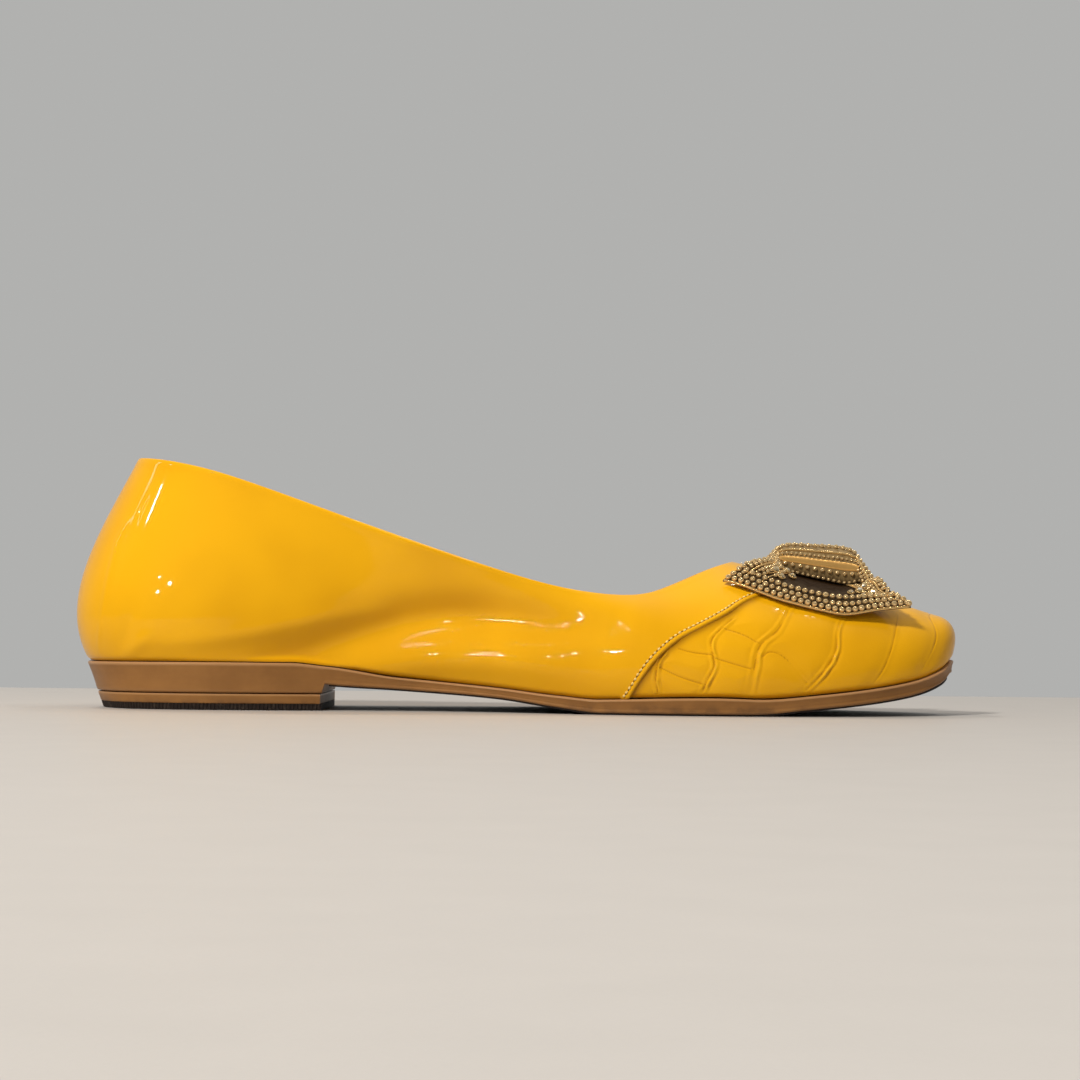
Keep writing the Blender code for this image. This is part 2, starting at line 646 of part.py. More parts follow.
def build_bow_knot(upper, wings, middle_y):
    """Build the knot: an arched band that stands on the middle of the wings."""
    depsgraph = bpy.context.evaluated_depsgraph_get()
    vamp_tree = BVHTree.FromObject(upper, depsgraph)
    wing_tree = BVHTree.FromObject(wings, depsgraph)
    arch_across = eased([(i / (len(KNOT_ARCH) - 1), row[0]) for i, row in enumerate(KNOT_ARCH)])
    arch_up = eased([(i / (len(KNOT_ARCH) - 1), row[1]) for i, row in enumerate(KNOT_ARCH)])
    outer_half = KNOT_SPAN / 2
    inner_half = outer_half - KNOT_BAND
    vamp = vamp_height(vamp_tree, BOW_DISTANCE, middle_y)
    feet = [middle_y + side * half for side in (-1, 1) for half in (inner_half, outer_half)]
    top, bottom = [], []
    for i in range(KNOT_STEPS_ACROSS + 1):
        share = i / KNOT_STEPS_ACROSS
        high_row, low_row = [], []
        for j in range(KNOT_STEPS_ALONG + 1):
            along = j / KNOT_STEPS_ALONG - 0.5
            x = BOW_DISTANCE + along * KNOT_LENGTH
            base = max(vamp_height(wing_tree, x, y) for y in feet) + CLEARANCE
            end_fall = KNOT_END_FALL * abs(2 * along) ** KNOT_END_POWER
            rise = vamp + KNOT_RISE - KNOT_TILT * along - end_fall - base
            high_row.append((x, middle_y + outer_half * arch_across(share), base + rise * arch_up(share)))
            low_row.append((x, middle_y + inner_half * arch_across(share),
                            base + (rise - KNOT_BAND) * arch_up(share)))
        top.append(high_row)
        bottom.append(low_row)
    bm = bmesh.new()
    grid_solid(bm, top, bottom)
    return mesh_object("bow_knot", bm, (0.70, 0.48, 0.18), 0.25, 1.0)


def clear_scene():
    """Remove every object of the open scene."""
    for item in list(bpy.data.objects):
        bpy.data.objects.remove(item, do_unlink=True)


clear_scene()
last = bpy.data.objects.new("last", None)
bpy.context.collection.objects.link(last)
build_outsole()
build_heel_lift()
build_insole()
shell = build_upper()
bow_middle = topline(LAST_STATION)[1]
wing_plate = build_bow_wings(shell, bow_middle)
build_bow_knot(shell, wing_plate, bow_middle)
last.location.x = -HEEL_REST_DISTANCE
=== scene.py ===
"""Dresses the left ballet flat: patent quarters, embossed toe vamp, moulded sole and beaded gilt bow.

Metres, +Z up, toe towards +X, the inner side of the foot towards -Y. Distances along the last are
counted from its back, and `Workshop.piece` moves them to the row frame.
"""

import logging
import math
from dataclasses import dataclass, field
from enum import Enum
from typing import Any, Callable, NamedTuple, Sequence

import bmesh
import bpy
import numpy as np
from mathutils import Euler, Matrix, Vector
from mathutils.bvhtree import BVHTree
from mathutils.kdtree import KDTree


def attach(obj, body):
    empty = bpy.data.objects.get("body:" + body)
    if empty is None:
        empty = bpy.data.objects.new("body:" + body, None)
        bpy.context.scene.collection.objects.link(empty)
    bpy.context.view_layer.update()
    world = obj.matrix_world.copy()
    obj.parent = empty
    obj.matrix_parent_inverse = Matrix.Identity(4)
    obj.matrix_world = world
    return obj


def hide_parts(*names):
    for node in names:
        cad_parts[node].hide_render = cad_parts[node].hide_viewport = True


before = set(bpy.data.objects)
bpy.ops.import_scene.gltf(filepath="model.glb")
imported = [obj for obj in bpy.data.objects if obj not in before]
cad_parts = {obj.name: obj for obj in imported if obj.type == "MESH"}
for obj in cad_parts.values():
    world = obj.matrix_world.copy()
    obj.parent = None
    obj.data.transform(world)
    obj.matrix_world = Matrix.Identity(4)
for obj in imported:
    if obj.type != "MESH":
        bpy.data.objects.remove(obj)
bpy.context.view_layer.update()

log = logging.getLogger("ballet_flat")

Array = np.ndarray
Triple = tuple[float, float, float]
MM = 0.001


class Side(Enum):
    """The side of the shoe that a listed line is on."""

    INNER = -1
    OUTER = 1
    TOP = 0


class Mark(Enum):
    """The kinds of line pressed into the embossed vamp."""

    WRINKLE = "wrinkle"
    CREASE = "crease"


# Curves and grids


class Eased:
    """A smooth function through the rows of a table that never overshoots them."""

    def __init__(self, rows: Sequence[tuple[float, float]]) -> None:
        """Work out the slope at each row.

        Args:
            rows: Pairs of place and value, in order of place.
        """
        self.xs = np.array([row[0] for row in rows], float)
        self.ys = np.array([row[1] for row in rows], float)
        self.steps = np.diff(self.xs)
        rates = np.diff(self.ys) / self.steps
        self.slopes = np.zeros(len(self.xs))
        for i in range(1, len(self.xs) - 1):
            before, after = rates[i - 1], rates[i]
            if before * after > 0:
                near = 2 * self.steps[i] + self.steps[i - 1]
                far = self.steps[i] + 2 * self.steps[i - 1]
                self.slopes[i] = (near + far) / (near / before + far / after)
        self.slopes[0] = rates[0]
        self.slopes[-1] = rates[-1]

    def __call__(self, x: Any) -> Array:
        """Return the values at x, held at the end values outside the table."""
        x = np.clip(np.asarray(x, float), self.xs[0], self.xs[-1])
        i = np.clip(np.searchsorted(self.xs, x, side="right") - 1, 0, len(self.steps) - 1)
        t = (x - self.xs[i]) / self.steps[i]
        rise = self.ys[i + 1] - self.ys[i]
        start = self.slopes[i] * self.steps[i] * t * (1 - t) ** 2
        finish = self.slopes[i + 1] * self.steps[i] * t * t * (t - 1)
        return self.ys[i] + rise * t * t * (3 - 2 * t) + start + finish


class ClosedSpline:
    """A smooth closed curve through points that lie one unit of u apart."""

    def __init__(self, points: Sequence[Sequence[float]]) -> None:
        """Solve for the slope at each point.

        Args:
            points: The points of the curve, in order round it.
        """
        self.points = np.array(points, float)
        count = len(self.points)
        system = 4 * np.eye(count) + np.roll(np.eye(count), 1, axis=1) + np.roll(np.eye(count), -1, axis=1)
        ahead, behind = np.roll(self.points, -1, axis=0), np.roll(self.points, 1, axis=0)
        self.slopes = np.linalg.solve(system, 3 * (ahead - behind))

    def __call__(self, u: Any) -> Array:
        """Return the points at u, one more axis than u has."""
        u = np.asarray(u, float)
        count = len(self.points)
        i = np.floor(u).astype(int) % count
        j = (i + 1) % count
        t = (u - np.floor(u))[..., None]
        a, b = self.points[i], self.points[j]
        start = self.slopes[i] * t * (1 - t) ** 2
        finish = self.slopes[j] * t * t * (t - 1)
        return a + (b - a) * t * t * (3 - 2 * t) + start + finish


def unit(vectors: Array) -> Array:
    """Return vectors scaled to length one."""
    return vectors / np.maximum(np.linalg.norm(vectors, axis=-1, keepdims=True), 1e-12)


def bell(distance: Array, width: float) -> Array:
    """Return a soft bump that is 1 at no distance and fades over a width."""
    return np.exp(-((distance / width) ** 2))


def smooth_path(points: Array, pitch: float) -> Array:
    """Return points at an even pitch along a smooth curve through the given points.

    Args:
        points: The points to pass through.
        pitch: The distance between the points returned.

    Returns:
        The new points, from the first given point to the last.
    """
    points = np.asarray(points, float)
    ends = np.vstack([2 * points[0] - points[1], points, 2 * points[-1] - points[-2]])
    fine = []
    for i in range(1, len(ends) - 2):
        p0, p1, p2, p3 = ends[i - 1:i + 3]
        t = np.linspace(0, 1, 24, endpoint=False)[:, None]
        fine.append(0.5 * (2 * p1 + (p2 - p0) * t + (2 * p0 - 5 * p1 + 4 * p2 - p3) * t ** 2
                           + (3 * p1 - p0 - 3 * p2 + p3) * t ** 3))
    fine.append(points[-1:])
    return even_path(np.vstack(fine), pitch)


def runs(points: Array) -> Array:
    """Return how far along a line each of its points lies."""
    return np.concatenate([[0.0], np.cumsum(np.linalg.norm(np.diff(points, axis=0), axis=1))])


def resample(points: Array, run: Array, stops: Array) -> Array:
    """Return a line's points at new stops, where run says how far along its own points lie."""
    return np.stack([np.interp(stops, run, points[:, k]) for k in range(points.shape[1])], axis=1)


def even_path(points: Array, pitch: float) -> Array:
    """Return points at an even pitch along a line of close points."""
    run = runs(points)
    count = max(int(round(run[-1] / pitch)), 1)
    return resample(points, run, np.linspace(0, run[-1], count + 1))


def distances(points: Array, line: Array) -> tuple[Array, Array]:
    """Return each point's distance to the nearest point of a line, and which point that is."""
    tree = KDTree(len(line))
    for i, place in enumerate(line):
        tree.insert(place, i)
    tree.balance()
    found = [tree.find(point) for point in points.reshape(-1, 3)]
    shape = points.shape[:-1]
    near = np.array([item[2] for item in found]).reshape(shape)
    which = np.array([item[1] for item in found]).reshape(shape)
    return near, which


def search_tree(made: bpy.types.Object) -> BVHTree:
    """Return a search tree of an object's faces."""
    mesh = made.data
    return BVHTree.FromPolygons([v.co for v in mesh.vertices], [p.vertices for p in mesh.polygons])


def grid_normals(points: Array) -> Array:
    """Return a unit normal that points up for each point of a grid of rows and columns."""
    normals = unit(np.cross(np.gradient(points, axis=0), np.gradient(points, axis=1)))
    return normals * np.sign(normals[..., 2:3])


# Shader wrapper


class Sock:
    """A shader value that adds its Math nodes when Python does sums with it."""

    def __init__(self, net: "Net", socket: Any) -> None:
        """Wrap an output socket of a net."""
        self.net = net
        self.socket = socket

    def maths(self, operation: str, *values: Any) -> "Sock":
        """Return the result of one Math node on the given values."""
        return self.net.node("ShaderNodeMath", {"operation": operation}, dict(enumerate(values)))

    def __add__(self, other: Any) -> "Sock":
        """Return self + other."""
        return self.maths("ADD", self, other)

    __radd__ = __add__

    def __sub__(self, other: Any) -> "Sock":
        """Return self - other."""
        return self.maths("SUBTRACT", self, other)

    def __rsub__(self, other: Any) -> "Sock":
        """Return other - self."""
        return self.maths("SUBTRACT", other, self)

    def __mul__(self, other: Any) -> "Sock":
        """Return self * other."""
        return self.maths("MULTIPLY", self, other)

    __rmul__ = __mul__

    def band(self, low: float, high: float) -> "Sock":
        """Return 0 below low, 1 above high, and a smooth step between."""
        settings = {"interpolation_type": "SMOOTHSTEP"}
        return self.net.node("ShaderNodeMapRange", settings, {0: self, 1: low, 2: high, 3: 0.0, 4: 1.0})


class Net:
    """The node tree of a material or a world, with short calls for the nodes used here."""

    def __init__(self, owner: Any) -> None:
        """Take over the node tree of its owner."""
        self.owner = owner
        owner.use_nodes = True
        self.tree = owner.node_tree

    def node(self, kind: str, settings: dict[str, Any] | None = None,
             inputs: dict[Any, Any] | None = None, out: Any = 0) -> Sock:
        """Add one node.

        Args:
            kind: The node's type.
            settings: Its properties, set before its sockets.
            inputs: Values or links by the socket's name or place.
            out: The output to return.

        Returns:
            The chosen output.
        """
        made = self.tree.nodes.new(kind)
        for key, value in (settings or {}).items():
            setattr(made, key, value)
        for key, value in (inputs or {}).items():
            self.feed(made.inputs[key], value)
        return Sock(self, made.outputs[out])

    def feed(self, socket: Any, value: Any) -> None:
        """Link a wrapped value to a socket, or set a constant on it."""
        if isinstance(value, Sock):
            self.tree.links.new(value.socket, socket)
        elif isinstance(value, tuple) and len(value) == 3 and socket.type == "RGBA":
            socket.default_value = (*value, 1.0)
        else:
            socket.default_value = value

    def place(self) -> Sock:
        """Return the surface's place in the row frame."""
        return self.node("ShaderNodeNewGeometry", out="Position")

    def attribute(self, name: str) -> Sock:
        """Return a number stored on the mesh."""
        return self.node("ShaderNodeAttribute", {"attribute_name": name}, out="Fac")

    def noise(self, scale: float, detail: float = 3.0, rough: float = 0.5) -> Sock:
        """Return noise with a number of features per metre."""
        sockets = {"Vector": self.place(), "Scale": scale, "Detail": detail, "Roughness": rough}
        return self.node("ShaderNodeTexNoise", {}, sockets, out="Fac")

    def cells(self, scale: float) -> Sock:
        """Return the distance in a pattern of cells."""
        sockets = {"Vector": self.place(), "Scale": scale}
        return self.node("ShaderNodeTexVoronoi", {"feature": "F1"}, sockets, out="Distance")

    def mix(self, share: Any, first: Any, second: Any) -> Sock:
        """Return a blend of two colours."""
        inputs = {"Factor": share, 6: first, 7: second}
        return self.node("ShaderNodeMix", {"data_type": "RGBA"}, inputs, out=2)

    def bump(self, height: Sock, depth: float, strength: float = 1.0, below: Sock | None = None) -> Sock:
        """Return a normal pushed in by a height of 0 to 1 times a depth in metres."""
        inputs: dict[str, Any] = {"Height": height, "Distance": depth, "Strength": strength}
        if below is not None:
            inputs["Normal"] = below
        return self.node("ShaderNodeBump", {}, inputs)

    def dress(self, shader: str = "Principled BSDF", **values: Any) -> None:
        """Set a shader's sockets, named here with underscores for spaces."""
        for key, value in values.items():
            self.feed(self.tree.nodes[shader].inputs[key.replace("_", " ")], value)


# Finishes


@dataclass(frozen=True)
class Finish:
    """What a piece is dressed in: a material's name and, in each kind, its colours and nodes."""

    name: str

    def make(self) -> bpy.types.Material:
        """Build the material."""
        net = Net(bpy.data.materials.new(self.name))
        self.paint(net)
        return net.owner

    def paint(self, net: Net) -> None:
        """Lay the material's nodes."""
        raise NotImplementedError


@dataclass(frozen=True)
class Patent(Finish):
    """Lacquered leather: a soft coloured base under a clear hard coat with faint waves, with painted shade
    along its seam and foot and, when pressed, painted shade in its lines and a painted highlight on its ridges.
    """

    name: str = "yellow_patent"
    lit: Triple = (0.86, 0.425, 0.004)
    deep: Triple = (0.62, 0.275, 0.002)
    base_roughness: float = 0.5
    coat_roughness: float = 0.04
    wave: float = 0.00022
    pressed: bool = False

    def paint(self, net: Net) -> None:
        """Lay the material's nodes."""
        drift = net.noise(26.0, 2.0).band(0.35, 0.7)
        colour = net.mix(0.45 * drift, self.lit, self.deep)
        if self.pressed:
            # Painted shade in the pressed lines and a painted highlight on the ridges beside them.
            hollow = net.attribute("hollow")
            colour = net.mix(0.8 * hollow.band(0.1, 0.9), colour, (0.40, 0.150, 0.001))
            crest = net.attribute("crest")
            colour = net.mix(0.35 * crest.band(0.2, 0.9), colour, (0.95, 0.55, 0.02))
        # Painted shade along the quarters' lip, beside it on the vamp and along the foot of the upper.
        edge = net.attribute("edge")
        colour = net.mix(0.72 * edge, colour, (0.24, 0.085, 0.002))
        scuff = net.noise(900.0, 4.0, 0.7).band(0.62, 0.78)
        swell = net.bump(net.noise(70.0, 1.0), self.wave)
        grain = net.bump(net.noise(1500.0, 3.0, 0.6), 0.00001 if not self.pressed else 0.00003, 0.6, swell)
        net.dress(
            Base_Color=colour,
            Roughness=self.base_roughness + 0.08 * scuff,
            Coat_Weight=0.62 - 0.12 * scuff,
            Coat_Roughness=self.coat_roughness,
            Coat_IOR=1.36,
            Specular_IOR_Level=0.08,
            Normal=grain,
        )


@dataclass(frozen=True)
class Leather(Finish):
    """Unlacquered leather with a fine pore grain, for the lining and the sock."""

    name: str = "tan_leather"
    light: Triple = (0.66, 0.50, 0.32)
    dark: Triple = (0.42, 0.29, 0.17)
    roughness: float = 0.62
    grain_scale: float = 1100.0

    def paint(self, net: Net) -> None:
        """Lay the material's nodes."""
        patches = net.noise(45.0, 4.0, 0.6)
        pores = net.cells(self.grain_scale)
        wear_and_highlight = net.attribute("wear_and_highlight")
        colour = net.mix(patches.band(0.3, 0.75), self.light, self.dark)
        colour = net.mix(0.45 * wear_and_highlight, colour, (0.30, 0.20, 0.12))
        colour = net.mix(0.35 * (1 - pores.band(0.02, 0.35)), colour, self.dark)
        creases = net.bump(net.noise(260.0, 4.0, 0.6), 0.00008)
        net.dress(
            Base_Color=colour,
            Roughness=self.roughness + 0.12 * patches - 0.15 * wear_and_highlight,
            Normal=net.bump(pores, 0.00006, 0.7, creases),
        )


@dataclass(frozen=True)
class Moulded(Finish):
    """Moulded sole rubber with faint flow marks and scuffs, darker in patches towards its lower edge, and a
    painted highlight on its rounded top edges.
    """

    name: str = "tan_moulded"
    light: Triple = (0.320, 0.146, 0.040)
    dark: Triple = (0.175, 0.075, 0.020)
    roughness: float = 0.38

    def paint(self, net: Net) -> None:
        """Lay the material's nodes."""
        stretch = net.node("ShaderNodeMapping", {}, {"Vector": net.place(), "Scale": (40.0, 40.0, 420.0)})
        flow = net.node("ShaderNodeTexNoise", {}, {"Vector": stretch, "Scale": 1.0, "Detail": 4.0}, "Fac")
        blotch = net.noise(55.0, 4.0, 0.65)
        colour = net.mix(0.45 * blotch.band(0.35, 0.72), self.light, self.dark)
        colour = net.mix(0.35 * flow.band(0.42, 0.68), colour, (0.255, 0.115, 0.033))
        height = net.node("ShaderNodeSeparateXYZ", {}, {0: net.place()}, out=2)
        # Darker in patches towards the lower edge.
        low_darkening = (1 - height.band(0.0004, 0.0042)) * net.noise(210.0, 4.0).band(0.35, 0.65)
        colour = net.mix(0.6 * low_darkening, colour, (0.070, 0.034, 0.018))
        # Lighter where the mark says: a painted highlight on the sole's top face and rounded top edges, and a
        # little along the lower edge.
        wear_and_highlight = net.attribute("wear_and_highlight")
        colour = net.mix(0.75 * wear_and_highlight, colour, (0.46, 0.245, 0.105))
        nicks = net.noise(1300.0, 3.0, 0.7)
        body = net.bump(flow, 0.00010)
        net.dress(
            Base_Color=colour,
            Roughness=self.roughness + 0.16 * blotch - 0.12 * wear_and_highlight,
            Specular_IOR_Level=0.3,
            Normal=net.bump(nicks, 0.00003, 0.8, body),
        )


@dataclass(frozen=True)
class Tread(Finish):
    """Black rubber of the walked-on faces, greyed with dust on its high points; its black also stands in for
    painted shade under the sole's edges.
    """

    name: str = "black_tread"
    colour: Triple = (0.020, 0.012, 0.009)
    dust: Triple = (0.095, 0.070, 0.052)

    def paint(self, net: Net) -> None:
        """Lay the material's nodes."""
        speck = net.noise(700.0, 4.0, 0.7).band(0.5, 0.72)
        colour = net.mix(0.6 * speck, self.colour, self.dust)
        net.dress(
            Base_Color=colour,
            Roughness=0.72 + 0.15 * speck,
            Normal=net.bump(net.noise(1900.0, 3.0), 0.00004),
        )


@dataclass(frozen=True)
class Thread(Finish):
    """Waxed twisted thread."""

    name: str = "waxed_thread"
    light: Triple = (0.95, 0.74, 0.30)
    dark: Triple = (0.70, 0.46, 0.10)

    def paint(self, net: Net) -> None:
        """Lay the material's nodes."""
        twist = net.noise(2600.0, 2.0)
        net.dress(
            Base_Color=net.mix(twist.band(0.35, 0.65), self.light, self.dark),
            Roughness=0.4 + 0.2 * twist,
            Normal=net.bump(twist, 0.00006),
        )


@dataclass(frozen=True)
class Gilt(Finish):
    """Cast gilt metal, bright where it is handled, with a dark brown ground and painted shade where its mark
    says: in the recess under the knot, under the beads and at the knot's feet.
    """

    name: str = "gilt"
    bright: Triple = (0.95, 0.63, 0.26)
    brown: Triple = (0.16, 0.075, 0.022)
    tarnish: float = 0.5
    roughness: float = 0.22

    def paint(self, net: Net) -> None:
        """Lay the material's nodes."""
        cloud = net.noise(650.0, 4.0, 0.65)
        stain = cloud.band(0.62 - 0.3 * self.tarnish, 0.86 - 0.2 * self.tarnish)
        colour = net.mix(self.tarnish * stain, self.bright, self.brown)
        # The hollow mark turns the metal dark brown and less metallic: a dark ground on the plates, and painted
        # shade where shade falls round the knot and beads.
        hollow = net.attribute("hollow")
        colour = net.mix(hollow, colour, (0.022, 0.010, 0.003))
        net.dress(
            Base_Color=colour,
            Metallic=0.76 - 0.76 * hollow,
            Roughness=self.roughness + 0.25 * stain + 0.25 * hollow,
            Specular_IOR_Level=0.12,
            Normal=net.bump(net.noise(1700.0, 3.0), 0.00003),
        )


@dataclass(frozen=True)
class Stone(Finish):
    """Pale cut glass with a foiled back."""

    name: str = "cut_stone"
    clear: Triple = (0.93, 0.88, 0.74)
    foil: Triple = (0.62, 0.46, 0.22)

    def paint(self, net: Net) -> None:
        """Lay the material's nodes."""
        glint = net.cells(900.0)
        net.dress(
            Base_Color=net.mix(glint.band(0.15, 0.55), self.clear, self.foil),
            Metallic=0.55,
            Roughness=0.06 + 0.08 * glint,
            Coat_Weight=1.0,
            Coat_Roughness=0.02,
        )


@dataclass(frozen=True)
class Paper(Finish):
    """The plain matt floor."""

    name: str = "pale_floor"
    colour: Triple = (0.50, 0.465, 0.43)

    def paint(self, net: Net) -> None:
        """Lay the material's nodes."""
        fibre = net.noise(60.0, 5.0)
        shade = tuple(0.93 * part for part in self.colour)
        net.dress(
            Base_Color=net.mix(fibre, self.colour, shade),
            Roughness=0.55,
            Normal=net.bump(net.noise(900.0, 3.0), 0.00003),
        )


# Making meshes


@dataclass
class Workshop:
    """Turns points and faces into dressed pieces that ride on the frame."""

    body: str = "root"
    finishes: dict[str, bpy.types.Material] = field(default_factory=dict)

    def finish(self, finish: Finish) -> bpy.types.Material:
        """Return the material of a finish, made once."""
        if finish.name not in self.finishes:
            self.finishes[finish.name] = finish.make()
        return self.finishes[finish.name]

    def piece(self, name: str, points: Array, faces: Any, finish: Finish, slot: str,
              nodes: Sequence[str] = (), marks: dict[str, Array] | None = None,
              sharp: float = 60.0) -> bpy.types.Object:
        """Make one piece.

        Args:
            name: The piece's name.
            points: Its points, counted from the last's back.
            faces: Lists of point numbers.
            finish: The finish it is dressed in.
            slot: Not used.
            nodes: The solids that it stands for.
            marks: Numbers stored at each point for the finish.
            sharp: The angle in degrees above which an edge stays sharp.

        Returns:
            The new object.
        """
        mesh = bpy.data.meshes.new(name)
        points = np.asarray(points, float).reshape(-1, 3) - np.array([Last.heel_rest, 0.0, 0.0])
        mesh.from_pydata(points.tolist(), [], faces if isinstance(faces, list) else faces.tolist())
        for mark, values in (marks or {}).items():
            stored = mesh.attributes.new(mark, "FLOAT", "POINT")
            stored.data.foreach_set("value", np.asarray(values, np.float32).ravel())
        mesh.validate()
        mesh.shade_smooth()
        mesh.set_sharp_from_angle(angle=math.radians(sharp))
        mesh.materials.append(self.finish(finish))
        made = bpy.data.objects.new(name, mesh)
        bpy.context.scene.collection.objects.link(made)
        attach(made, self.body)
        if nodes:
            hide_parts(*nodes)
        log.info("%s: %d triangles", name, sum(len(p.vertices) - 2 for p in mesh.polygons))
        return made

    @staticmethod
    def quads(rows: int, columns: int, closed: bool = False, start: int = 0, flip: bool = False) -> Array:
        """Return the faces of a grid.

        Args:
            rows: How many rows of points.
            columns: How many points in a row.
            closed: Whether each row runs round to its start.
            start: The number of the grid's first point.
            flip: Whether the faces look the other way.

        Returns:
            An array of four point numbers a face.
        """
        across = columns if closed else columns - 1
        i, j = np.meshgrid(np.arange(rows - 1), np.arange(across), indexing="ij")
        k = (j + 1) % columns
        parts = [i * columns + j, i * columns + k, (i + 1) * columns + k, (i + 1) * columns + j]
        faces = np.stack([part.ravel() for part in parts], axis=1) + start
        return faces[:, ::-1] if flip else faces


def sheet(first: Array, second: Array, flip: bool = False) -> tuple[Array, list[list[int]]]:
    """Close the space between two grids of the same size.

    Args:
        first: The grid whose faces keep the order of `Workshop.quads`.
        second: The grid behind it.
        flip: Whether every face looks the other way.

    Returns:
        The points of both grids and the faces of the closed sheet.
    """
    rows, columns = first.shape[:2]
    size = rows * columns
    faces = Workshop.quads(rows, columns, flip=flip).tolist()
    faces += Workshop.quads(rows, columns, start=size, flip=not flip).tolist()
    border = [(0, j) for j in range(columns)] + [(i, columns - 1) for i in range(1, rows)]
    border += [(rows - 1, j) for j in range(columns - 2, -1, -1)] + [(i, 0) for i in range(rows - 2, 0, -1)]
    loop = [i * columns + j for i, j in border]
    for a, b in zip(loop, loop[1:] + loop[:1]):
        faces.append([b, a, a + size, b + size] if flip else [a, b, b + size, a + size])
    return np.concatenate([first.reshape(-1, 3), second.reshape(-1, 3)]), faces


def bead_form() -> tuple[Array, Array]:
    """Return the points and faces of a small round bead of radius one."""
    bm = bmesh.new()
    bmesh.ops.create_icosphere(bm, subdivisions=2, radius=1.0)
    points = np.array([v.co[:] for v in bm.verts])
    faces = np.array([[v.index for v in face.verts] for face in bm.faces])
    bm.free()
    return points, faces


def stone_form(sides: int = 8) -> tuple[Array, Array]:
    """Return the points and faces of a cut stone: a flat table, a girdle and a point below."""
    angles = np.arange(sides) * 2 * np.pi / sides
    turned = angles + np.pi / sides
    table = np.stack([0.55 * np.cos(turned), 0.55 * np.sin(turned), np.full(sides, 0.45)], 1)
    girdle = np.stack([np.cos(angles), np.sin(angles), np.zeros(sides)], 1)
    points = np.vstack([table, girdle, [[0, 0, 0.45]], [[0, 0, -0.6]]])
    faces = []
    for i in range(sides):
        j = (i + 1) % sides
        faces += [[2 * sides, i, j], [i, sides + j, j], [i, sides + i, sides + j],
                  [2 * sides + 1, sides + j, sides + i]]
    return points, np.array(faces)


def ring_form(rim: float = 0.2, around: int = 20, round_rim: int = 8) -> tuple[Array, Array]:
    """Return the points and faces of a ring of radius one that holds a stone."""
    a, b = np.meshgrid(np.arange(around) * 2 * np.pi / around,
                       np.arange(round_rim) * 2 * np.pi / round_rim, indexing="ij")
    reach = 1 + rim * np.cos(b)
    points = np.stack([reach * np.cos(a), reach * np.sin(a), 1.3 * rim * np.sin(b)], -1).reshape(-1, 3)
    i, j = np.meshgrid(np.arange(around), np.arange(round_rim), indexing="ij")
    k, m = (i + 1) % around, (j + 1) % round_rim
    faces = np.stack([(i * round_rim + j).ravel(), (k * round_rim + j).ravel(),
                      (k * round_rim + m).ravel(), (i * round_rim + m).ravel()], 1)
    return points, faces


def scatter(form: tuple[Array, Array], places: Array, normals: Array, sizes: Any,
            tangents: Array | None = None, stretch: Array | None = None) -> tuple[Array, Array]:
    """Copy a small form to many places.

    Args:
        form: Its points and faces.
        places: Where the copies go.
        normals: The direction of each copy's own Z.
        sizes: Each copy's size, or one for all.
        tangents: The direction of each copy's own X, or None where it makes no difference.
        stretch: Factors along the copy's own axes.

    Returns:
        The points and faces of all the copies in one mesh.
    """
    points, faces = form
    places, normals = np.atleast_2d(places), unit(np.atleast_2d(normals))
    if tangents is None:
        tangents = np.tile([1.0, 0.0, 0.0], (len(places), 1))
    side = unit(np.cross(normals, tangents))
    ahead = np.cross(side, normals)
    local = points * (np.ones(3) if stretch is None else stretch)
    sizes = np.broadcast_to(np.asarray(sizes, float), (len(places),))[:, None, None]
    axes = np.stack([ahead, side, normals], axis=1)
    spread = places[:, None, :] + sizes * (local @ axes)
    shift = (np.arange(len(places)) * len(points))[:, None, None]
    return spread.reshape(-1, 3), (faces[None] + shift).reshape(-1, faces.shape[1])


def tube(path: Array, radius: Any, sides: int = 8) -> tuple[Array, Array]:
    """Return the points and faces of a round wire along a path, with closed ends."""
    tangents = unit(np.gradient(path, axis=0))
    side = unit(np.cross(tangents, np.array([0.13, 0.21, 1.0])))
    up = np.cross(side, tangents)
    angles = np.arange(sides) * 2 * np.pi / sides
    radius = np.broadcast_to(np.asarray(radius, float), (len(path),)).copy()
    radius[0] *= 0.3
    radius[-1] *= 0.3
    round_it = np.cos(angles)[None, :, None] * side[:, None] + np.sin(angles)[None, :, None] * up[:, None]
    points = (path[:, None] + radius[:, None, None] * round_it).reshape(-1, 3)
    return points, Workshop.quads(len(path), sides, closed=True)


def merge(parts: Sequence[tuple[Array, Any]]) -> tuple[Array, list[list[int]]]:
    """Join several sets of points and faces into one."""
    points, faces, start = [], [], 0
    for some_points, some_faces in parts:
        points.append(some_points.reshape(-1, 3))
        faces += [[start + int(i) for i in face] for face in some_faces]
        start += len(points[-1])
    return np.vstack(points), faces


# The last and the wall round it


class Section(NamedTuple):
    """One section of the last, from the heel's back to the toe's tip."""

    along: float
    half: float
    centre: float
    belly_out: float
    belly_up: float
    shoulder_reach: float
    shoulder_out: float
    shoulder_down: float
    top_along: float
    top_half: float
    top_centre: float
    top_height: float


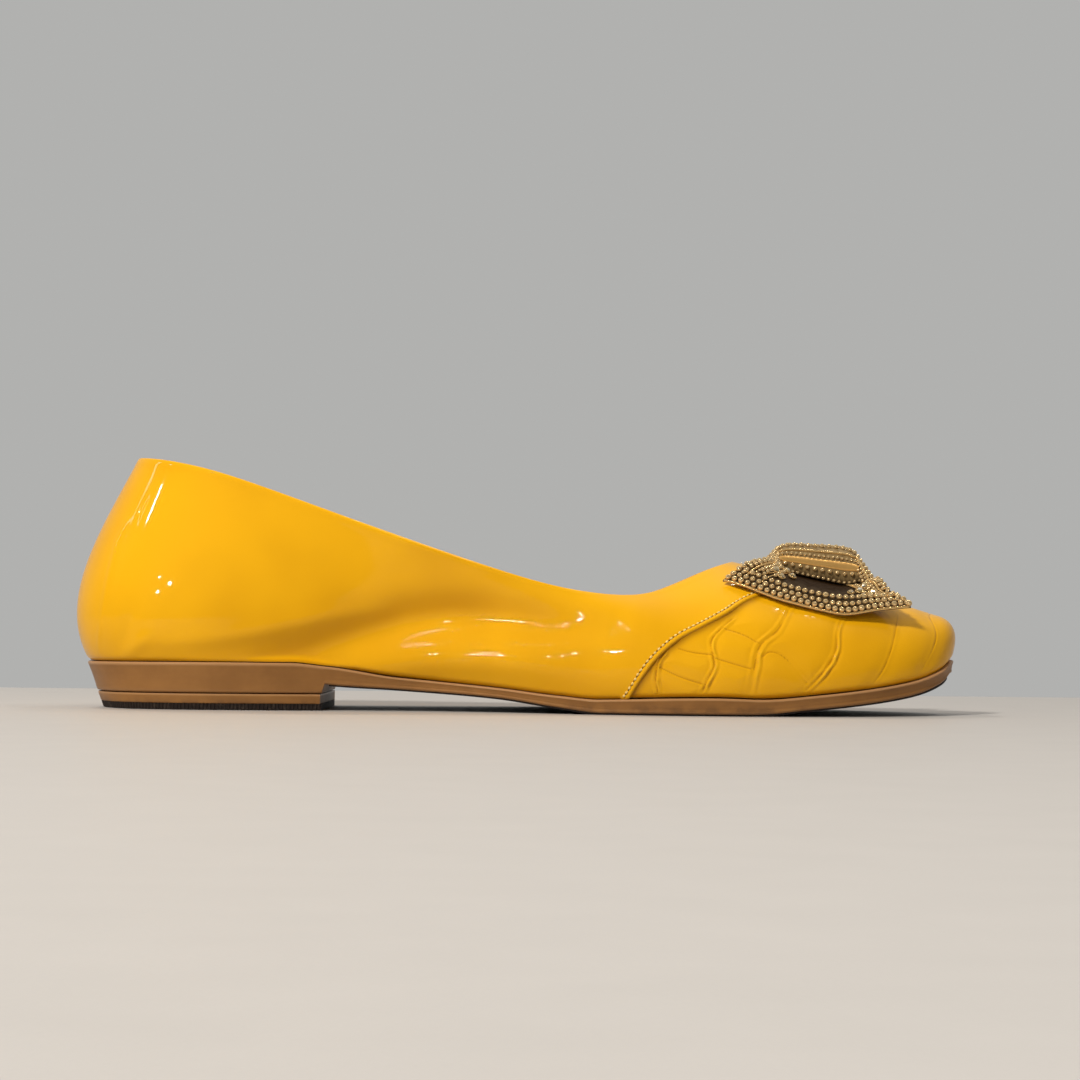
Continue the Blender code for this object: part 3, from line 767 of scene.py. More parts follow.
@dataclass
class Last:
    """The form that the shoe is pulled over, with the sole's run and the upper's wall."""

    heel_rest = 0.036
    length: float = 0.2443
    seat_width: float = 0.0546
    waist_width: float = 0.0492
    ball_width: float = 0.0790
    heel_rise: float = 0.0087
    toe_spring: float = 0.0114
    sole_edge: float = 0.0044
    clearance: float = 0.0003
    back_height: float = 0.0703
    quarter_height: float = 0.0325
    throat_height: float = 0.0423
    throat_distance: float = 0.1825
    back_lean: float = 0.0131
    collar_width: float = 0.0600
    heel_bulge: float = 0.0101
    side_fullness: float = 0.0045
    vamp_swell: float = 0.0045
    wall_thickness: float = 0.0016
    vamp_step: float = 0.0006

    def __post_init__(self) -> None:
        """Fit the curves through the tables."""
        self.rows = self.sections()
        self.stations = 2 * len(self.rows) - 2
        self.toe = float(len(self.rows) - 1)
        long, rise, spring, edge = self.length, self.heel_rise, self.toe_spring, self.sole_edge
        self.underside = Eased([(place * long, share * size) for place, share, size in (
            (0.000, 1.000, rise), (0.240, 1.000, rise), (0.285, 0.780, rise), (0.360, 0.655, rise),
            (0.475, 0.425, rise), (0.545, 0.150, rise), (0.592, 0.000, rise), (0.760, 0.000, spring),
            (0.825, 0.120, spring), (0.941, 0.440, spring), (0.986, 0.760, spring), (1.000, 1.000, spring))])
        self.edge_height = Eased([(place * long, share * edge) for place, share in (
            (0.000, 0.98), (0.160, 1.03), (0.240, 1.02), (0.285, 1.22), (0.360, 0.85), (0.475, 0.72),
            (0.600, 0.95), (0.720, 1.10), (0.825, 0.94), (0.941, 0.96), (1.000, 0.94))])
        self.quarter_edge = Eased([(share * self.throat_height, place * long) for share, place in (
            (0.10, 0.624), (0.25, 0.640), (0.37, 0.656), (0.49, 0.681), (0.57, 0.707), (0.65, 0.733),
            (0.73, 0.755), (0.80, 0.780), (0.95, 0.806))])
        self.bottom = ClosedSpline(self.both_sides(
            lambda row, side: (row.along, row.centre + side * row.half)))
        self.topline = ClosedSpline(self.both_sides(
            lambda row, side: (row.top_along, row.top_centre + side * row.top_half, row.top_height)))
        self.fit_wall()

    def sections(self) -> list[Section]:
        """Return the table of sections, where a size in a row goes with the share before it."""
        long, bulge, full, swell = self.length, self.heel_bulge, self.side_fullness, self.vamp_swell
        seat, waist, ball, collar = (
            width / 2 for width in (self.seat_width, self.waist_width, self.ball_width, self.collar_width))
        lean, throat, back = self.back_lean, self.throat_distance, self.back_height
        quarter, instep = self.quarter_height, self.throat_height
        rows = (
            (.000, .00, seat, .000, 1.00, bulge, .29, .82, .00, .36, 1.00, lean, .00, .000, 1.000, back),
            (.016, .50, seat, .000, .95, bulge, .29, .76, .00, .36, 1.22, lean, .31, .000, .995, back),
            (.061, .86, seat, .000, .80, bulge, .30, .60, .00, .35, 1.85, lean, .55, .005, .978, back),
            (.134, 1.00, seat, .005, .60, bulge, .30, .50, .10, .33, .212, throat, .73, .015, .929, back),
            (.235, .97, seat, .020, .95, full, .31, .45, .15, .32, .332, throat, .84, .035, .824, back),
            (.357, 1.00, waist, .075, .60, full, .30, .40, .00, .31, .484, throat, .91, .055, .684, back),
            (.467, .73, ball, .080, .75, full, .30, .40, .25, .29, .614, throat, .97, .055, 1.240, quarter),
            (.560, .88, ball, .045, .95, full, .32, .42, .55, .24, .717, throat, 1.00, .035, 1.077, quarter),
            (.649, .99, ball, .015, 1.00, full, .36, .45, .70, .18, .793, throat, .97, .015, 1.006, quarter),
            (.730, 1.00, ball, -.010, .90, full, .38, .45, .90, .14, .856, throat, .88, -.005, 1.006, quarter),
            (.811, .92, ball, -.045, .78, full, .42, .47, 1.00, .14, .911, throat, .735, -.020, .846, instep),
            (.884, .77, ball, -.080, .70, full, .46, .50, .90, .18, .953, throat, .555, -.035, .927, instep),
            (.941, .57, ball, -.110, .65, full, .52, .57, .65, .27, .981, throat, .365, -.045, .975, instep),
            (.982, .33, ball, -.130, .60, full, .60, .67, .35, .39, .996, throat, .18, -.055, .994, instep),
            (1.000, .00, ball, -.140, .55, full, .64, .72, .00, .45, 1.000, throat, .00, -.060, 1.000, instep),
        )
        return [Section(along * long, wide * half, aside * ball, belly * reach, belly_up, shoulder,
                        out * swell, down, place * lean_or_throat, narrow * collar, off * ball, up * tall)
                for (along, wide, half, aside, belly, reach, belly_up, shoulder, out, down,
                     place, lean_or_throat, narrow, off, up, tall) in rows]

    def both_sides(self, point_of: Callable[[Section, int], tuple[float, ...]]) -> list[tuple[float, ...]]:
        """Return a point for each station: the inner side to the toe, then the outer side back."""
        inner = [point_of(row, -1) for row in self.rows]
        return inner + [point_of(row, 1) for row in self.rows[-2:0:-1]]

    def sole_top(self, x: Any) -> Array:
        """Return the height of the sole's upper face at x."""
        return self.underside(x) + self.edge_height(x)

    @staticmethod
    def outward(curve: ClosedSpline, u: Any) -> Array:
        """Return the level unit vectors that point out of a closed curve."""
        along = curve(np.asarray(u) + 0.01)[..., :2] - curve(np.asarray(u) - 0.01)[..., :2]
        return unit(np.stack([along[..., 1], -along[..., 0]], axis=-1))

    def foot(self, u: Any) -> Array:
        """Return the points of the wall just over the sole."""
        plan = self.bottom(u)
        return np.concatenate([plan, (self.sole_top(plan[..., 0]) + self.clearance)[..., None]], -1)

    def fit_wall(self) -> None:
        """Fit the two curves that give the wall its fullness."""
        bellies, shoulders = [], []
        for u in range(self.stations):
            row = self.rows[min(u, self.stations - u)]
            foot, top = self.foot(u), self.topline(u)
            wall = top[2] - foot[2]
            belly, shoulder = foot.copy(), top.copy()
            belly[:2] += self.outward(self.bottom, u) * row.belly_out
            belly[2] += row.belly_up * wall
            shoulder[:2] += row.shoulder_reach * (foot[:2] - top[:2])
            shoulder[:2] += self.outward(self.topline, u) * row.shoulder_out
            shoulder[2] -= row.shoulder_down * wall
            bellies.append(belly)
            shoulders.append(shoulder)
        self.belly, self.shoulder = ClosedSpline(bellies), ClosedSpline(shoulders)

    def wall(self, u: Any, v: Any) -> Array:
        """Return points of the wall: u round the shoe, v from the sole to the topline."""
        v = np.asarray(v, float)[..., None]
        w = 1 - v
        low = w ** 3 * self.foot(u) + 3 * w * w * v * self.belly(u)
        return low + 3 * w * v * v * self.shoulder(u) + v ** 3 * self.topline(u)

    def wall_normal(self, u: Any, v: Any) -> Array:
        """Return the unit vectors that point out of the wall."""
        u, v = np.asarray(u, float), np.asarray(v, float)
        low, high = np.maximum(v - 0.01, 0), np.minimum(v + 0.01, 1)
        around = self.wall(u + 0.01, v) - self.wall(u - 0.01, v)
        return unit(np.cross(around, self.wall(u, high) - self.wall(u, low)))

    def wall_height(self, u: Array) -> Array:
        """Return how long the wall's line is from the sole to the topline."""
        line = self.wall(u[None], np.linspace(0, 1, 40)[:, None] * np.ones_like(u)[None])
        return np.linalg.norm(np.diff(line, axis=0), axis=-1).sum(0)

    def parameter_at(self, x: float) -> float:
        """Return the u at which the bottom edge's inner side passes x."""
        low, high = 0.0, self.toe
        for _ in range(50):
            middle = (low + high) / 2
            low, high = (middle, high) if self.bottom(middle)[0] < x else (low, middle)
        return (low + high) / 2

    def seam_share(self, u: Array) -> Array:
        """Return the v at which the quarter begins on each line of the wall, 0 where it does at the sole."""
        shares = np.linspace(0, 1, 700)
        points = self.wall(u[None], shares[:, None] * np.ones_like(u)[None])
        ahead = points[..., 0] - self.quarter_edge(points[..., 2])
        behind = ahead <= 0
        first = np.argmax(behind, axis=0)
        column = np.arange(len(u))
        before = ahead[np.maximum(first - 1, 0), column]
        after = ahead[first, column]
        part = np.where(first > 0, before / np.maximum(before - after, 1e-12), 0.0)
        return np.where(first > 0, shares[np.maximum(first - 1, 0)] + part * shares[1], 0.0)

    def locate(self, points: Array, side: Side, first: float, second: float) -> Array:
        """Return the point of a fine grid that a hand-placed pair of shares stands for.

        Args:
            points: The grid's points.
            side: The side that the pair is seen from.
            Return the point of a fine grid that a given pair of shares stands for.
            second: The height as a share of the back's, or from above the place across as a share
                of the ball's width.

        Returns:
            The nearest point of the grid.
        """
        flat = points.reshape(-1, 3)
        if side is Side.TOP:
            target, seen = (first * self.length, second * self.ball_width), flat[:, :2]
            allowed = flat[:, 2] > 0.35 * self.throat_height
        else:
            target, seen = (first * self.length, second * self.back_height), flat[:, [0, 2]]
            allowed = (flat[:, 1] - self.bottom(self.toe)[1] * 0.5) * side.value > 0
        gap = np.linalg.norm(seen - np.array(target), axis=1) + np.where(allowed, 0, 1)
        return flat[int(np.argmin(gap))]


# The upper


class Ridge(NamedTuple):
    """A soft ridge, a groove where its height is negative, or a band of shade."""

    height: float
    width: float

    def at(self, distance: Array) -> Array:
        """Return its height at a distance from its middle."""
        return self.height * bell(distance, self.width)


class Fold(NamedTuple):
    """A soft trough or ridge: its side, width, height and points in shares."""

    side: Side
    width: float
    height: float
    points: tuple[tuple[float, float], ...]


QUARTER_FOLDS = (
    Fold(Side.INNER, 6.2 * MM, -3.60 * MM, (
        (.225, .190), (.280, .245), (.335, .310), (.380, .360), (.430, .378), (.480, .370),
        (.545, .350), (.600, .340))),
    Fold(Side.INNER, 5.0 * MM, 1.50 * MM, (
        (.290, .150), (.350, .185), (.410, .205), (.470, .205), (.540, .195))),
    Fold(Side.INNER, 2.4 * MM, 0.40 * MM, (
        (.075, .262), (.130, .270), (.190, .298), (.274, .370), (.352, .400))),
    Fold(Side.INNER, 5.0 * MM, -0.60 * MM, ((.120, .210), (.190, .228), (.260, .250))),
    Fold(Side.INNER, 1.2 * MM, 0.30 * MM, (
        (.049, .742), (.040, .660), (.037, .597), (.030, .470), (.026, .390))),
    Fold(Side.INNER, 1.0 * MM, 0.22 * MM, ((.026, .370), (.022, .300), (.020, .230))),
    Fold(Side.INNER, 0.7 * MM, -0.18 * MM, ((.074, .850), (.066, .780), (.061, .713))),
    Fold(Side.INNER, 2.6 * MM, -0.45 * MM, ((.062, .430), (.060, .340), (.050, .240))),
    Fold(Side.INNER, 2.0 * MM, 0.40 * MM, ((.085, .300), (.070, .260), (.055, .215))),
    Fold(Side.INNER, 7.0 * MM, 0.50 * MM, ((.560, .380), (.600, .360), (.640, .350))),
    Fold(Side.INNER, 3.0 * MM, -0.25 * MM, ((.500, .235), (.560, .220), (.615, .230))),
    Fold(Side.OUTER, 6.0 * MM, -1.60 * MM, (
        (.250, .290), (.330, .390), (.385, .440), (.440, .440), (.520, .410))),
    Fold(Side.OUTER, 6.5 * MM, 0.90 * MM, ((.300, .255), (.390, .295), (.470, .290))),
    Fold(Side.OUTER, 2.4 * MM, 0.30 * MM, ((.085, .270), (.160, .285), (.260, .350), (.340, .385))),
    Fold(Side.OUTER, 1.3 * MM, 0.22 * MM, ((.046, .730), (.036, .560), (.028, .370))),
    Fold(Side.OUTER, 3.0 * MM, -0.25 * MM, ((.520, .235), (.570, .230), (.620, .245))),
)


class Groove(NamedTuple):
    """A pressed line of the embossing: its kind, its width, and its points with their sides."""

    kind: Mark
    width: float
    points: tuple[tuple[Side, float, float], ...]


I, O, T = Side.INNER, Side.OUTER, Side.TOP
GROOVES = (
    Groove(Mark.WRINKLE, 1.1 * MM, ((I, .655, .085), (I, .653, .140), (I, .655, .205), (I, .664, .250))),
    Groove(Mark.WRINKLE, 1.25 * MM, (
        (I, .704, .091), (I, .710, .141), (I, .717, .190), (I, .717, .234), (I, .715, .292), (I, .729, .346),
        (I, .742, .385))),
    Groove(Mark.WRINKLE, 2.3 * MM, (
        (I, .758, .096), (I, .763, .201), (I, .769, .274), (I, .791, .340), (I, .808, .435), (T, .826, -.240),
        (T, .838, -.080), (T, .838, .060), (T, .826, .180), (O, .800, .420), (O, .788, .330), (O, .770, .240),
        (O, .764, .090))),
    Groove(Mark.WRINKLE, 1.35 * MM, (
        (I, .823, .105), (I, .842, .183), (I, .855, .257), (I, .860, .350), (T, .878, -.250), (T, .890, -.120),
        (T, .892, .000), (T, .882, .120), (O, .858, .360), (O, .850, .250), (O, .838, .170), (O, .826, .110))),
    Groove(Mark.CREASE, 1.2 * MM, (
        (I, .897, .117), (I, .912, .190), (I, .920, .258), (I, .930, .364), (T, .938, -.140), (T, .942, -.040),
        (T, .938, .060), (O, .925, .340), (O, .915, .230), (O, .900, .120))),
    Groove(Mark.CREASE, 1.4 * MM, (
        (I, .958, .184), (I, .975, .298), (T, .972, -.160), (T, .976, -.090), (T, .974, -.010), (O, .968, .280),
        (O, .955, .180))),
    Groove(Mark.CREASE, 1.0 * MM, ((I, .655, .190), (I, .680, .150), (I, .706, .122))),
    Groove(Mark.CREASE, 1.0 * MM, ((I, .728, .342), (I, .750, .315), (I, .771, .280))),
    Groove(Mark.CREASE, 1.0 * MM, ((I, .717, .226), (I, .736, .205), (I, .760, .181))),
    Groove(Mark.CREASE, 1.0 * MM, ((I, .770, .225), (I, .780, .248), (I, .796, .228), (I, .824, .125))),
    Groove(Mark.CREASE, 1.0 * MM, ((I, .676, .262), (I, .694, .245), (I, .717, .236))),
    Groove(Mark.CREASE, 1.0 * MM, ((T, .878, -.160), (T, .910, -.150), (T, .940, -.130))),
    Groove(Mark.CREASE, 1.0 * MM, ((T, .889, .040), (T, .915, .035), (T, .942, .040))),
    Groove(Mark.CREASE, 1.0 * MM, ((T, .941, -.060), (T, .958, -.080), (T, .975, -.085))),
    Groove(Mark.WRINKLE, 1.5 * MM, ((O, .655, .085), (O, .654, .150), (O, .662, .230))),
    Groove(Mark.WRINKLE, 1.7 * MM, ((O, .710, .092), (O, .714, .190), (O, .720, .290), (O, .740, .380))),
    Groove(Mark.CREASE, 1.0 * MM, ((O, .658, .160), (O, .685, .175), (O, .713, .150))),
    Groove(Mark.CREASE, 1.0 * MM, ((O, .718, .260), (O, .745, .240), (O, .768, .235))),
    Groove(Mark.CREASE, 1.0 * MM, ((O, .726, .350), (O, .755, .330), (O, .788, .335))),
    Groove(Mark.CREASE, 1.0 * MM, ((O, .766, .180), (O, .800, .200), (O, .838, .175))),
    Groove(Mark.CREASE, 1.0 * MM, ((O, .795, .370), (O, .825, .310), (O, .853, .290))),
    Groove(Mark.CREASE, 1.0 * MM, ((O, .852, .260), (O, .885, .255), (O, .917, .250))),
    Groove(Mark.CREASE, 1.0 * MM, ((O, .845, .190), (O, .870, .150), (O, .902, .140))),
    Groove(Mark.CREASE, 1.0 * MM, ((O, .920, .270), (O, .945, .240), (O, .962, .235))),
)


@dataclass
class Upper:
    """Patent quarters over an embossed toe vamp, with lining, fold and stitches."""

    last: Last
    shop: Workshop
    columns_per_station: int = 32
    wall_rows: int = 66
    crown_rows: int = 9
    turn_in: float = 5.0 * MM
    turn_rows: int = 6
    lip_radius: float = 0.8 * MM
    lip: Ridge = Ridge(0.30 * MM, 0.7 * MM)
    stitch_inset: float = 1.55 * MM
    stitch_line: Ridge = Ridge(-0.16 * MM, 0.32 * MM)
    stitch_pitch: float = 1.42 * MM
    stitch_length: float = 0.95 * MM
    thread_radius: float = 0.34 * MM
    hole_radius: float = 0.27 * MM
    shoulder: tuple[float, float] = (0.2442, 0.0250)
    shoulder_fill: Ridge = Ridge(2.0 * MM, 6.0 * MM)
    pillow: Ridge = Ridge(0.34 * MM, 2.8 * MM)
    crease_inset: float = 0.6 * MM
    crease_wall: Ridge = Ridge(0.05 * MM, 0.3 * MM)
    tuck: Ridge = Ridge(-0.45 * MM, 0.7 * MM)
    tuck_start: float = 2.5 * MM
    fold_fade: float = 3.0 * MM
    back_seam: Ridge = Ridge(-0.30 * MM, 0.35 * MM)
    back_welt: Ridge = Ridge(0.14 * MM, 0.5 * MM)
    welt_inset: float = 0.9 * MM
    top_fold: Ridge = Ridge(0.07 * MM, 0.8 * MM)
    top_fold_inset: float = 1.0 * MM
    foot_shade: Ridge = Ridge(0.9, 0.45 * MM)
    quarter_shade: Ridge = Ridge(0.75, 0.40 * MM)
    vamp_shade: Ridge = Ridge(0.95, 1.25 * MM)
    vamp_columns: int = 600
    vamp_rows: int = 124
    vamp_lap: float = 2.6 * MM
    lining_columns: int = 12
    lining_rows: int = 46
    lining_thickness: float = 0.28 * MM

    def build(self) -> None:
        """Build every piece of the upper."""
        self.trace_seam()
        self.build_quarters()
        self.build_vamp()
        self.build_lining()
        self.build_stitches()

    def trace_seam(self) -> None:
        """Find the line where the quarters end on the vamp."""
        u = np.linspace(0, self.last.stations, self.last.stations * 60, endpoint=False)
        v = self.last.seam_share(u)
        inside = np.flatnonzero(v > 0)
        first, last = inside[0] - 1, inside[-1] + 1
        self.seam_u = u[first:last + 1]
        self.seam_v = v[first:last + 1]
        self.seam = self.last.wall(self.seam_u, self.seam_v)
        self.fine_seam = even_path(self.seam, 0.12 * MM)

    def skin(self, u: Array, shares: Array) -> tuple[Array, Array]:
        """Return the wall's points and normals for a u for each column and a share for each point."""
        around = np.broadcast_to(u[None], shares.shape)
        return self.last.wall(around, shares), self.last.wall_normal(around, shares)

    def above_foot(self, points: Array) -> Array:
        """Return how far each point lies above the sole, 0 where it is lower."""
        return np.maximum(points[..., 2] - self.last.sole_top(points[..., 0]) - self.last.clearance, 0)

    @staticmethod
    def stretch_shares(count: int) -> Array:
        """Return shares from 0 to 1 that crowd towards both ends."""
        t = np.linspace(0, 1, count)
        return 0.5 * t + 0.5 * (0.5 - 0.5 * np.cos(np.pi * t))

    def fold_heights(self, points: Array) -> Array:
        """Return how far the listed folds push the wall out at each point."""
        total = np.zeros(points.shape[:-1])
        middle = self.last.bottom(self.last.toe)[1] * 0.5
        for fold in QUARTER_FOLDS:
            path = np.array([self.last.locate(points, fold.side, *pair) for pair in fold.points])
            path = smooth_path(path, 0.5 * MM)
            near, which = distances(points, path)
            run = which / (len(path) - 1)
            taper = np.sin(np.pi * np.clip(0.06 + 0.88 * run, 0, 1)) ** 0.6
            same_side = (points[..., 1] - middle) * fold.side.value > 0
            total += np.where(same_side, fold.height * taper * bell(near, fold.width), 0.0)
        return total

    def build_quarters(self) -> None:
        """Build the plain patent quarters, from the sole or the seam over the fold and into the shoe."""
        last = self.last
        columns = last.stations * self.columns_per_station
        u = np.linspace(0, last.stations, columns, endpoint=False)
        low = last.seam_share(u)
        shares = low[None] + (1 - low)[None] * self.stretch_shares(self.wall_rows)[:, None]
        points, normals = self.skin(u, shares)
        near, _ = distances(points, self.fine_seam)
        over_foot = self.above_foot(points)
        lifted = near / self.lip_radius
        profile = np.sqrt(np.clip(1 - (1 - np.clip(lifted, 0, 1)) ** 2, 0, 1))
        beyond = np.maximum(near - self.lip_radius, 0)
        height = (last.vamp_step + self.lip.at(beyond)) * profile
        height += self.stitch_line.at(near - self.stitch_inset)
        tuck = bell(over_foot, self.tuck.width)
        height = np.where(near > self.tuck_start, height + self.tuck.height * tuck, height)
        height += self.fold_heights(points) * (1 - bell(near, self.fold_fade)) * (1 - tuck)
        back = np.minimum(u, last.stations - u)[None] * 13.0 * MM
        height = height + self.back_seam.at(back) + self.back_welt.at(np.abs(back) - self.welt_inset)
        under_top = (1 - shares) * last.wall_height(u)[None]
        height += self.top_fold.at(under_top - self.top_fold_inset)
        outer = points + normals * height[..., None]
        rim = last.topline(u)
        rim_normal = last.wall_normal(u, np.ones_like(u))
        rise = unit(rim - last.wall(u, np.full_like(u, 0.97)))
        half = (last.vamp_step + last.wall_thickness) / 2
        centre = rim + rim_normal * (last.vamp_step - half)
        crown = [centre + rim_normal * half * math.cos(a) + rise * 0.75 * MM * math.sin(a)
                 for a in np.linspace(0, math.pi, self.crown_rows + 1)[1:]]
        drop = self.turn_in / last.wall_height(u)
        inner = []
        for step in range(1, self.turn_rows + 1):
            share = 1 - drop * step / self.turn_rows
            inner.append(last.wall(u, share) - last.wall_normal(u, share) * last.wall_thickness)
        grid = np.concatenate([outer, np.stack(crown), np.stack(inner)])
        rows = len(grid)
        # Painted shade beside the quarters' lip and along the foot, stored as the edge mark.
        edge = np.zeros((rows, columns))
        edge[:self.wall_rows] = np.maximum(self.foot_shade.at(over_foot), self.quarter_shade.at(near))
        faces = Workshop.quads(rows, columns, closed=True)
        self.shop.piece("quarters", grid, faces, Patent(), "patent", ["upper"], {"edge": edge})

    def build_vamp(self) -> None:
        """Build the embossed vamp, from the sole to a lap under the quarters."""
        last = self.last
        first, final = self.seam_u[0] - 0.15, self.seam_u[-1] + 0.15
        u = np.linspace(first, final, self.vamp_columns)
        low = last.seam_share(u)
        lap = self.vamp_lap / last.wall_height(u)
        shares = (low + lap)[None] * np.linspace(0, 1, self.vamp_rows)[:, None]
        points, normals = self.skin(u, shares)
        relief, hollow, crest = self.relief(points)
        over_foot = self.above_foot(points)
        under = np.clip((shares - low[None]) / lap[None], 0, 1)
        tuck = bell(over_foot, 0.8 * MM)
        height = relief * (1 - tuck) * (1 - np.clip(under * 2, 0, 1)) - 0.30 * MM * tuck - 0.35 * MM * under
        grid = points + normals * height[..., None]
        near, _ = distances(points, self.fine_seam)
        # Painted shade beside the quarters' lip and along the foot, stored as the edge mark.
        edge = np.maximum(self.vamp_shade.at(near), self.foot_shade.at(over_foot))
        faces = Workshop.quads(*shares.shape)
        finish = Patent("embossed_patent", (0.84, 0.41, 0.004), (0.60, 0.265, 0.002), 0.46, 0.10, 0.00018, True)
        # The hollow and crest marks carry painted shade in the pressed lines and a painted highlight on the
        # ridges.
        marks = {"edge": edge, "hollow": hollow, "crest": crest}
        self.shop.piece("toe_vamp", grid, faces, finish, "embossed", ["upper"], marks)

    def relief(self, points: Array) -> tuple[Array, Array, Array]:
        """Return the embossing's height at each point, and how deep in a line or high on a ridge it is, which
        the finish turns into painted shade and highlight.
        """
        shape = points.shape[:-1]
        height, hollow, crest = np.zeros(shape), np.zeros(shape), np.zeros(shape)
        nearest = np.full(shape, 1.0)
        wobble = self.wobble(points)
        for groove in GROOVES:
            path = np.array([self.last.locate(points, *place) for place in groove.points])
            path = smooth_path(path, 0.3 * MM)
            near, which = distances(points, path)
            run = which / (len(path) - 1)
            taper = np.clip(np.minimum(run, 1 - run) * 14 + 0.25, 0, 1)
            nearest = np.minimum(nearest, near)
            if groove.kind is Mark.WRINKLE:
                near = np.abs(near + 0.10 * MM * wobble)
                low_down = np.clip(1.60 - points[..., 2] / (0.36 * self.last.back_height), 0.34, 1.0)
                half = groove.width / 2 * (0.55 + 0.45 * low_down)
                ahead = points[..., 0] - path[which, 0]
                uneven = 0.5 + 0.5 * np.sin(run * 17 + groove.width * 9000)
                strength = np.where(ahead > 0, 0.55 + 0.55 * uneven, 0.80 - 0.55 * uneven) * taper * low_down
                ridge = bell(near - half, 0.38 * MM) * strength
                line = bell(near, 0.24 * MM) * taper * (0.5 + 0.5 * low_down)
                outside = bell(near - half - 0.8 * MM, 0.34 * MM) * strength
                wide = np.clip(groove.width / (2 * MM) - 0.8, 0, 1)
                inside = bell(near - 0.45 * half, 0.30 * MM) * taper * wide
                pressed = 0.40 * ridge - 0.24 * line - 0.14 * outside + 0.14 * inside
                height += pressed * (1 + 0.35 * wobble) * MM
                crest = np.maximum(crest, 0.9 * ridge)
                hollow = np.maximum(hollow, np.maximum(0.8 * line, 0.45 * outside))
            else:
                line = bell(near, 0.25 * MM) * taper
                height -= 0.15 * MM * line
                height += self.crease_wall.at(near - self.crease_inset) * taper
                hollow = np.maximum(hollow, 0.75 * line)
        height += self.pillow.height * (1 - bell(nearest, self.pillow.width))
        from_shoulder = np.hypot(points[..., 0] - self.shoulder[0], points[..., 2] - self.shoulder[1])
        height += self.shoulder_fill.at(from_shoulder)
        return height, hollow, crest

    @staticmethod
    def wobble(points: Array) -> Array:
        """Return an uneven value from -1 to 1 that makes pressed lines look wrinkled."""
        x, y, z = (points[..., k] * 1000 for k in range(3))
        first = np.sin(0.6 * x + 0.9 * z + 1.3 * np.sin(0.45 * z + 0.21 * y))
        second = np.sin(1.35 * z - 0.8 * y + 1.7 * np.sin(0.33 * x))
        return 0.55 * first + 0.45 * second

    def build_lining(self) -> None:
        """Build the leather lining, with a rounded edge under the fold."""
        last = self.last
        columns = last.stations * self.lining_columns
        u = np.linspace(0, last.stations, columns, endpoint=False)
        top = 1 - 0.62 * self.turn_in / last.wall_height(u)
        shares = top[None] * np.linspace(0, 1, self.lining_rows)[:, None]
        points, normals = self.skin(u, shares)
        inset = last.wall_thickness + self.lining_thickness
        pushed = np.minimum(self.fold_heights(points), 0) * np.clip(3 - 3 * shares, 0, 1)
        inside = points - normals * (inset - 0.7 * pushed)[..., None]
        plan = last.bottom(u) - last.outward(last.bottom, u) * inset
        inside[0] = np.concatenate([plan, (last.sole_top(plan[:, 0]) + last.clearance)[:, None]], 1)
        back = points[-1] - normals[-1] * (last.wall_thickness - 0.05 * MM)
        lip = (inside[-1] + back) / 2 + unit(points[-1] - points[-2]) * 0.14 * MM
        grid = np.concatenate([inside, lip[None], back[None]])
        wear_and_highlight = np.zeros(grid.shape[:-1])
        heel = bell(np.minimum(u, last.stations - u)[None], 1.1)
        wear_and_highlight[:len(shares)] = heel * np.clip(shares * 1.2 - 0.2, 0, 1)
        faces = Workshop.quads(len(grid), columns, closed=True, flip=True)
        self.shop.piece("lining", grid, faces, Leather(), "lining", ["upper"], {"wear_and_highlight": wear_and_highlight})

    def build_stitches(self) -> None:
        """Build the row of stitches along the seam, with a dark disc at each end of a thread as painted shade
        in its needle hole.
        """
        last = self.last
        seam = even_path(self.seam, self.stitch_pitch)
        tangents = unit(np.gradient(seam, axis=0))
        nearest = np.linalg.norm(self.seam[None] - seam[:, None], axis=-1).argmin(axis=1)
        outward = last.wall_normal(self.seam_u[nearest], self.seam_v[nearest])
        inward = unit(np.cross(outward, tangents))
        inward *= -np.sign(inward[:, :1])
        skin = search_tree(bpy.data.objects["quarters"])
        shift = Vector((last.heel_rest, 0, 0))
        found = [skin.find_nearest(Vector(place) - shift)[:2] for place in seam + inward * self.stitch_inset]
        places = np.array([hit + shift for hit, _ in found])
        facing = np.array([normal for _, normal in found])
        facing *= np.sign((facing * outward).sum(1, keepdims=True))
        size = self.thread_radius
        shape = np.array([self.stitch_length / 2, size, size * 0.8])
        points, faces = scatter(bead_form(), places + facing * 0.16 * MM, facing, 1.0, tangents, shape)
        self.shop.piece("seam_stitches", points, faces, Thread(), "thread")
        # Dark flat discs between the stitches: painted shade in the needle holes.
        middles = (places[1:] + places[:-1]) / 2
        shape = np.array([1.0, 1.0, 0.4])
        points, faces = scatter(bead_form(), middles, facing[1:], self.hole_radius, tangents[1:], shape)
        dark = Thread("dark_thread", (0.16, 0.075, 0.008), (0.06, 0.025, 0.003))
        self.shop.piece("seam_holes", points, faces, dark, "thread")


# The sole


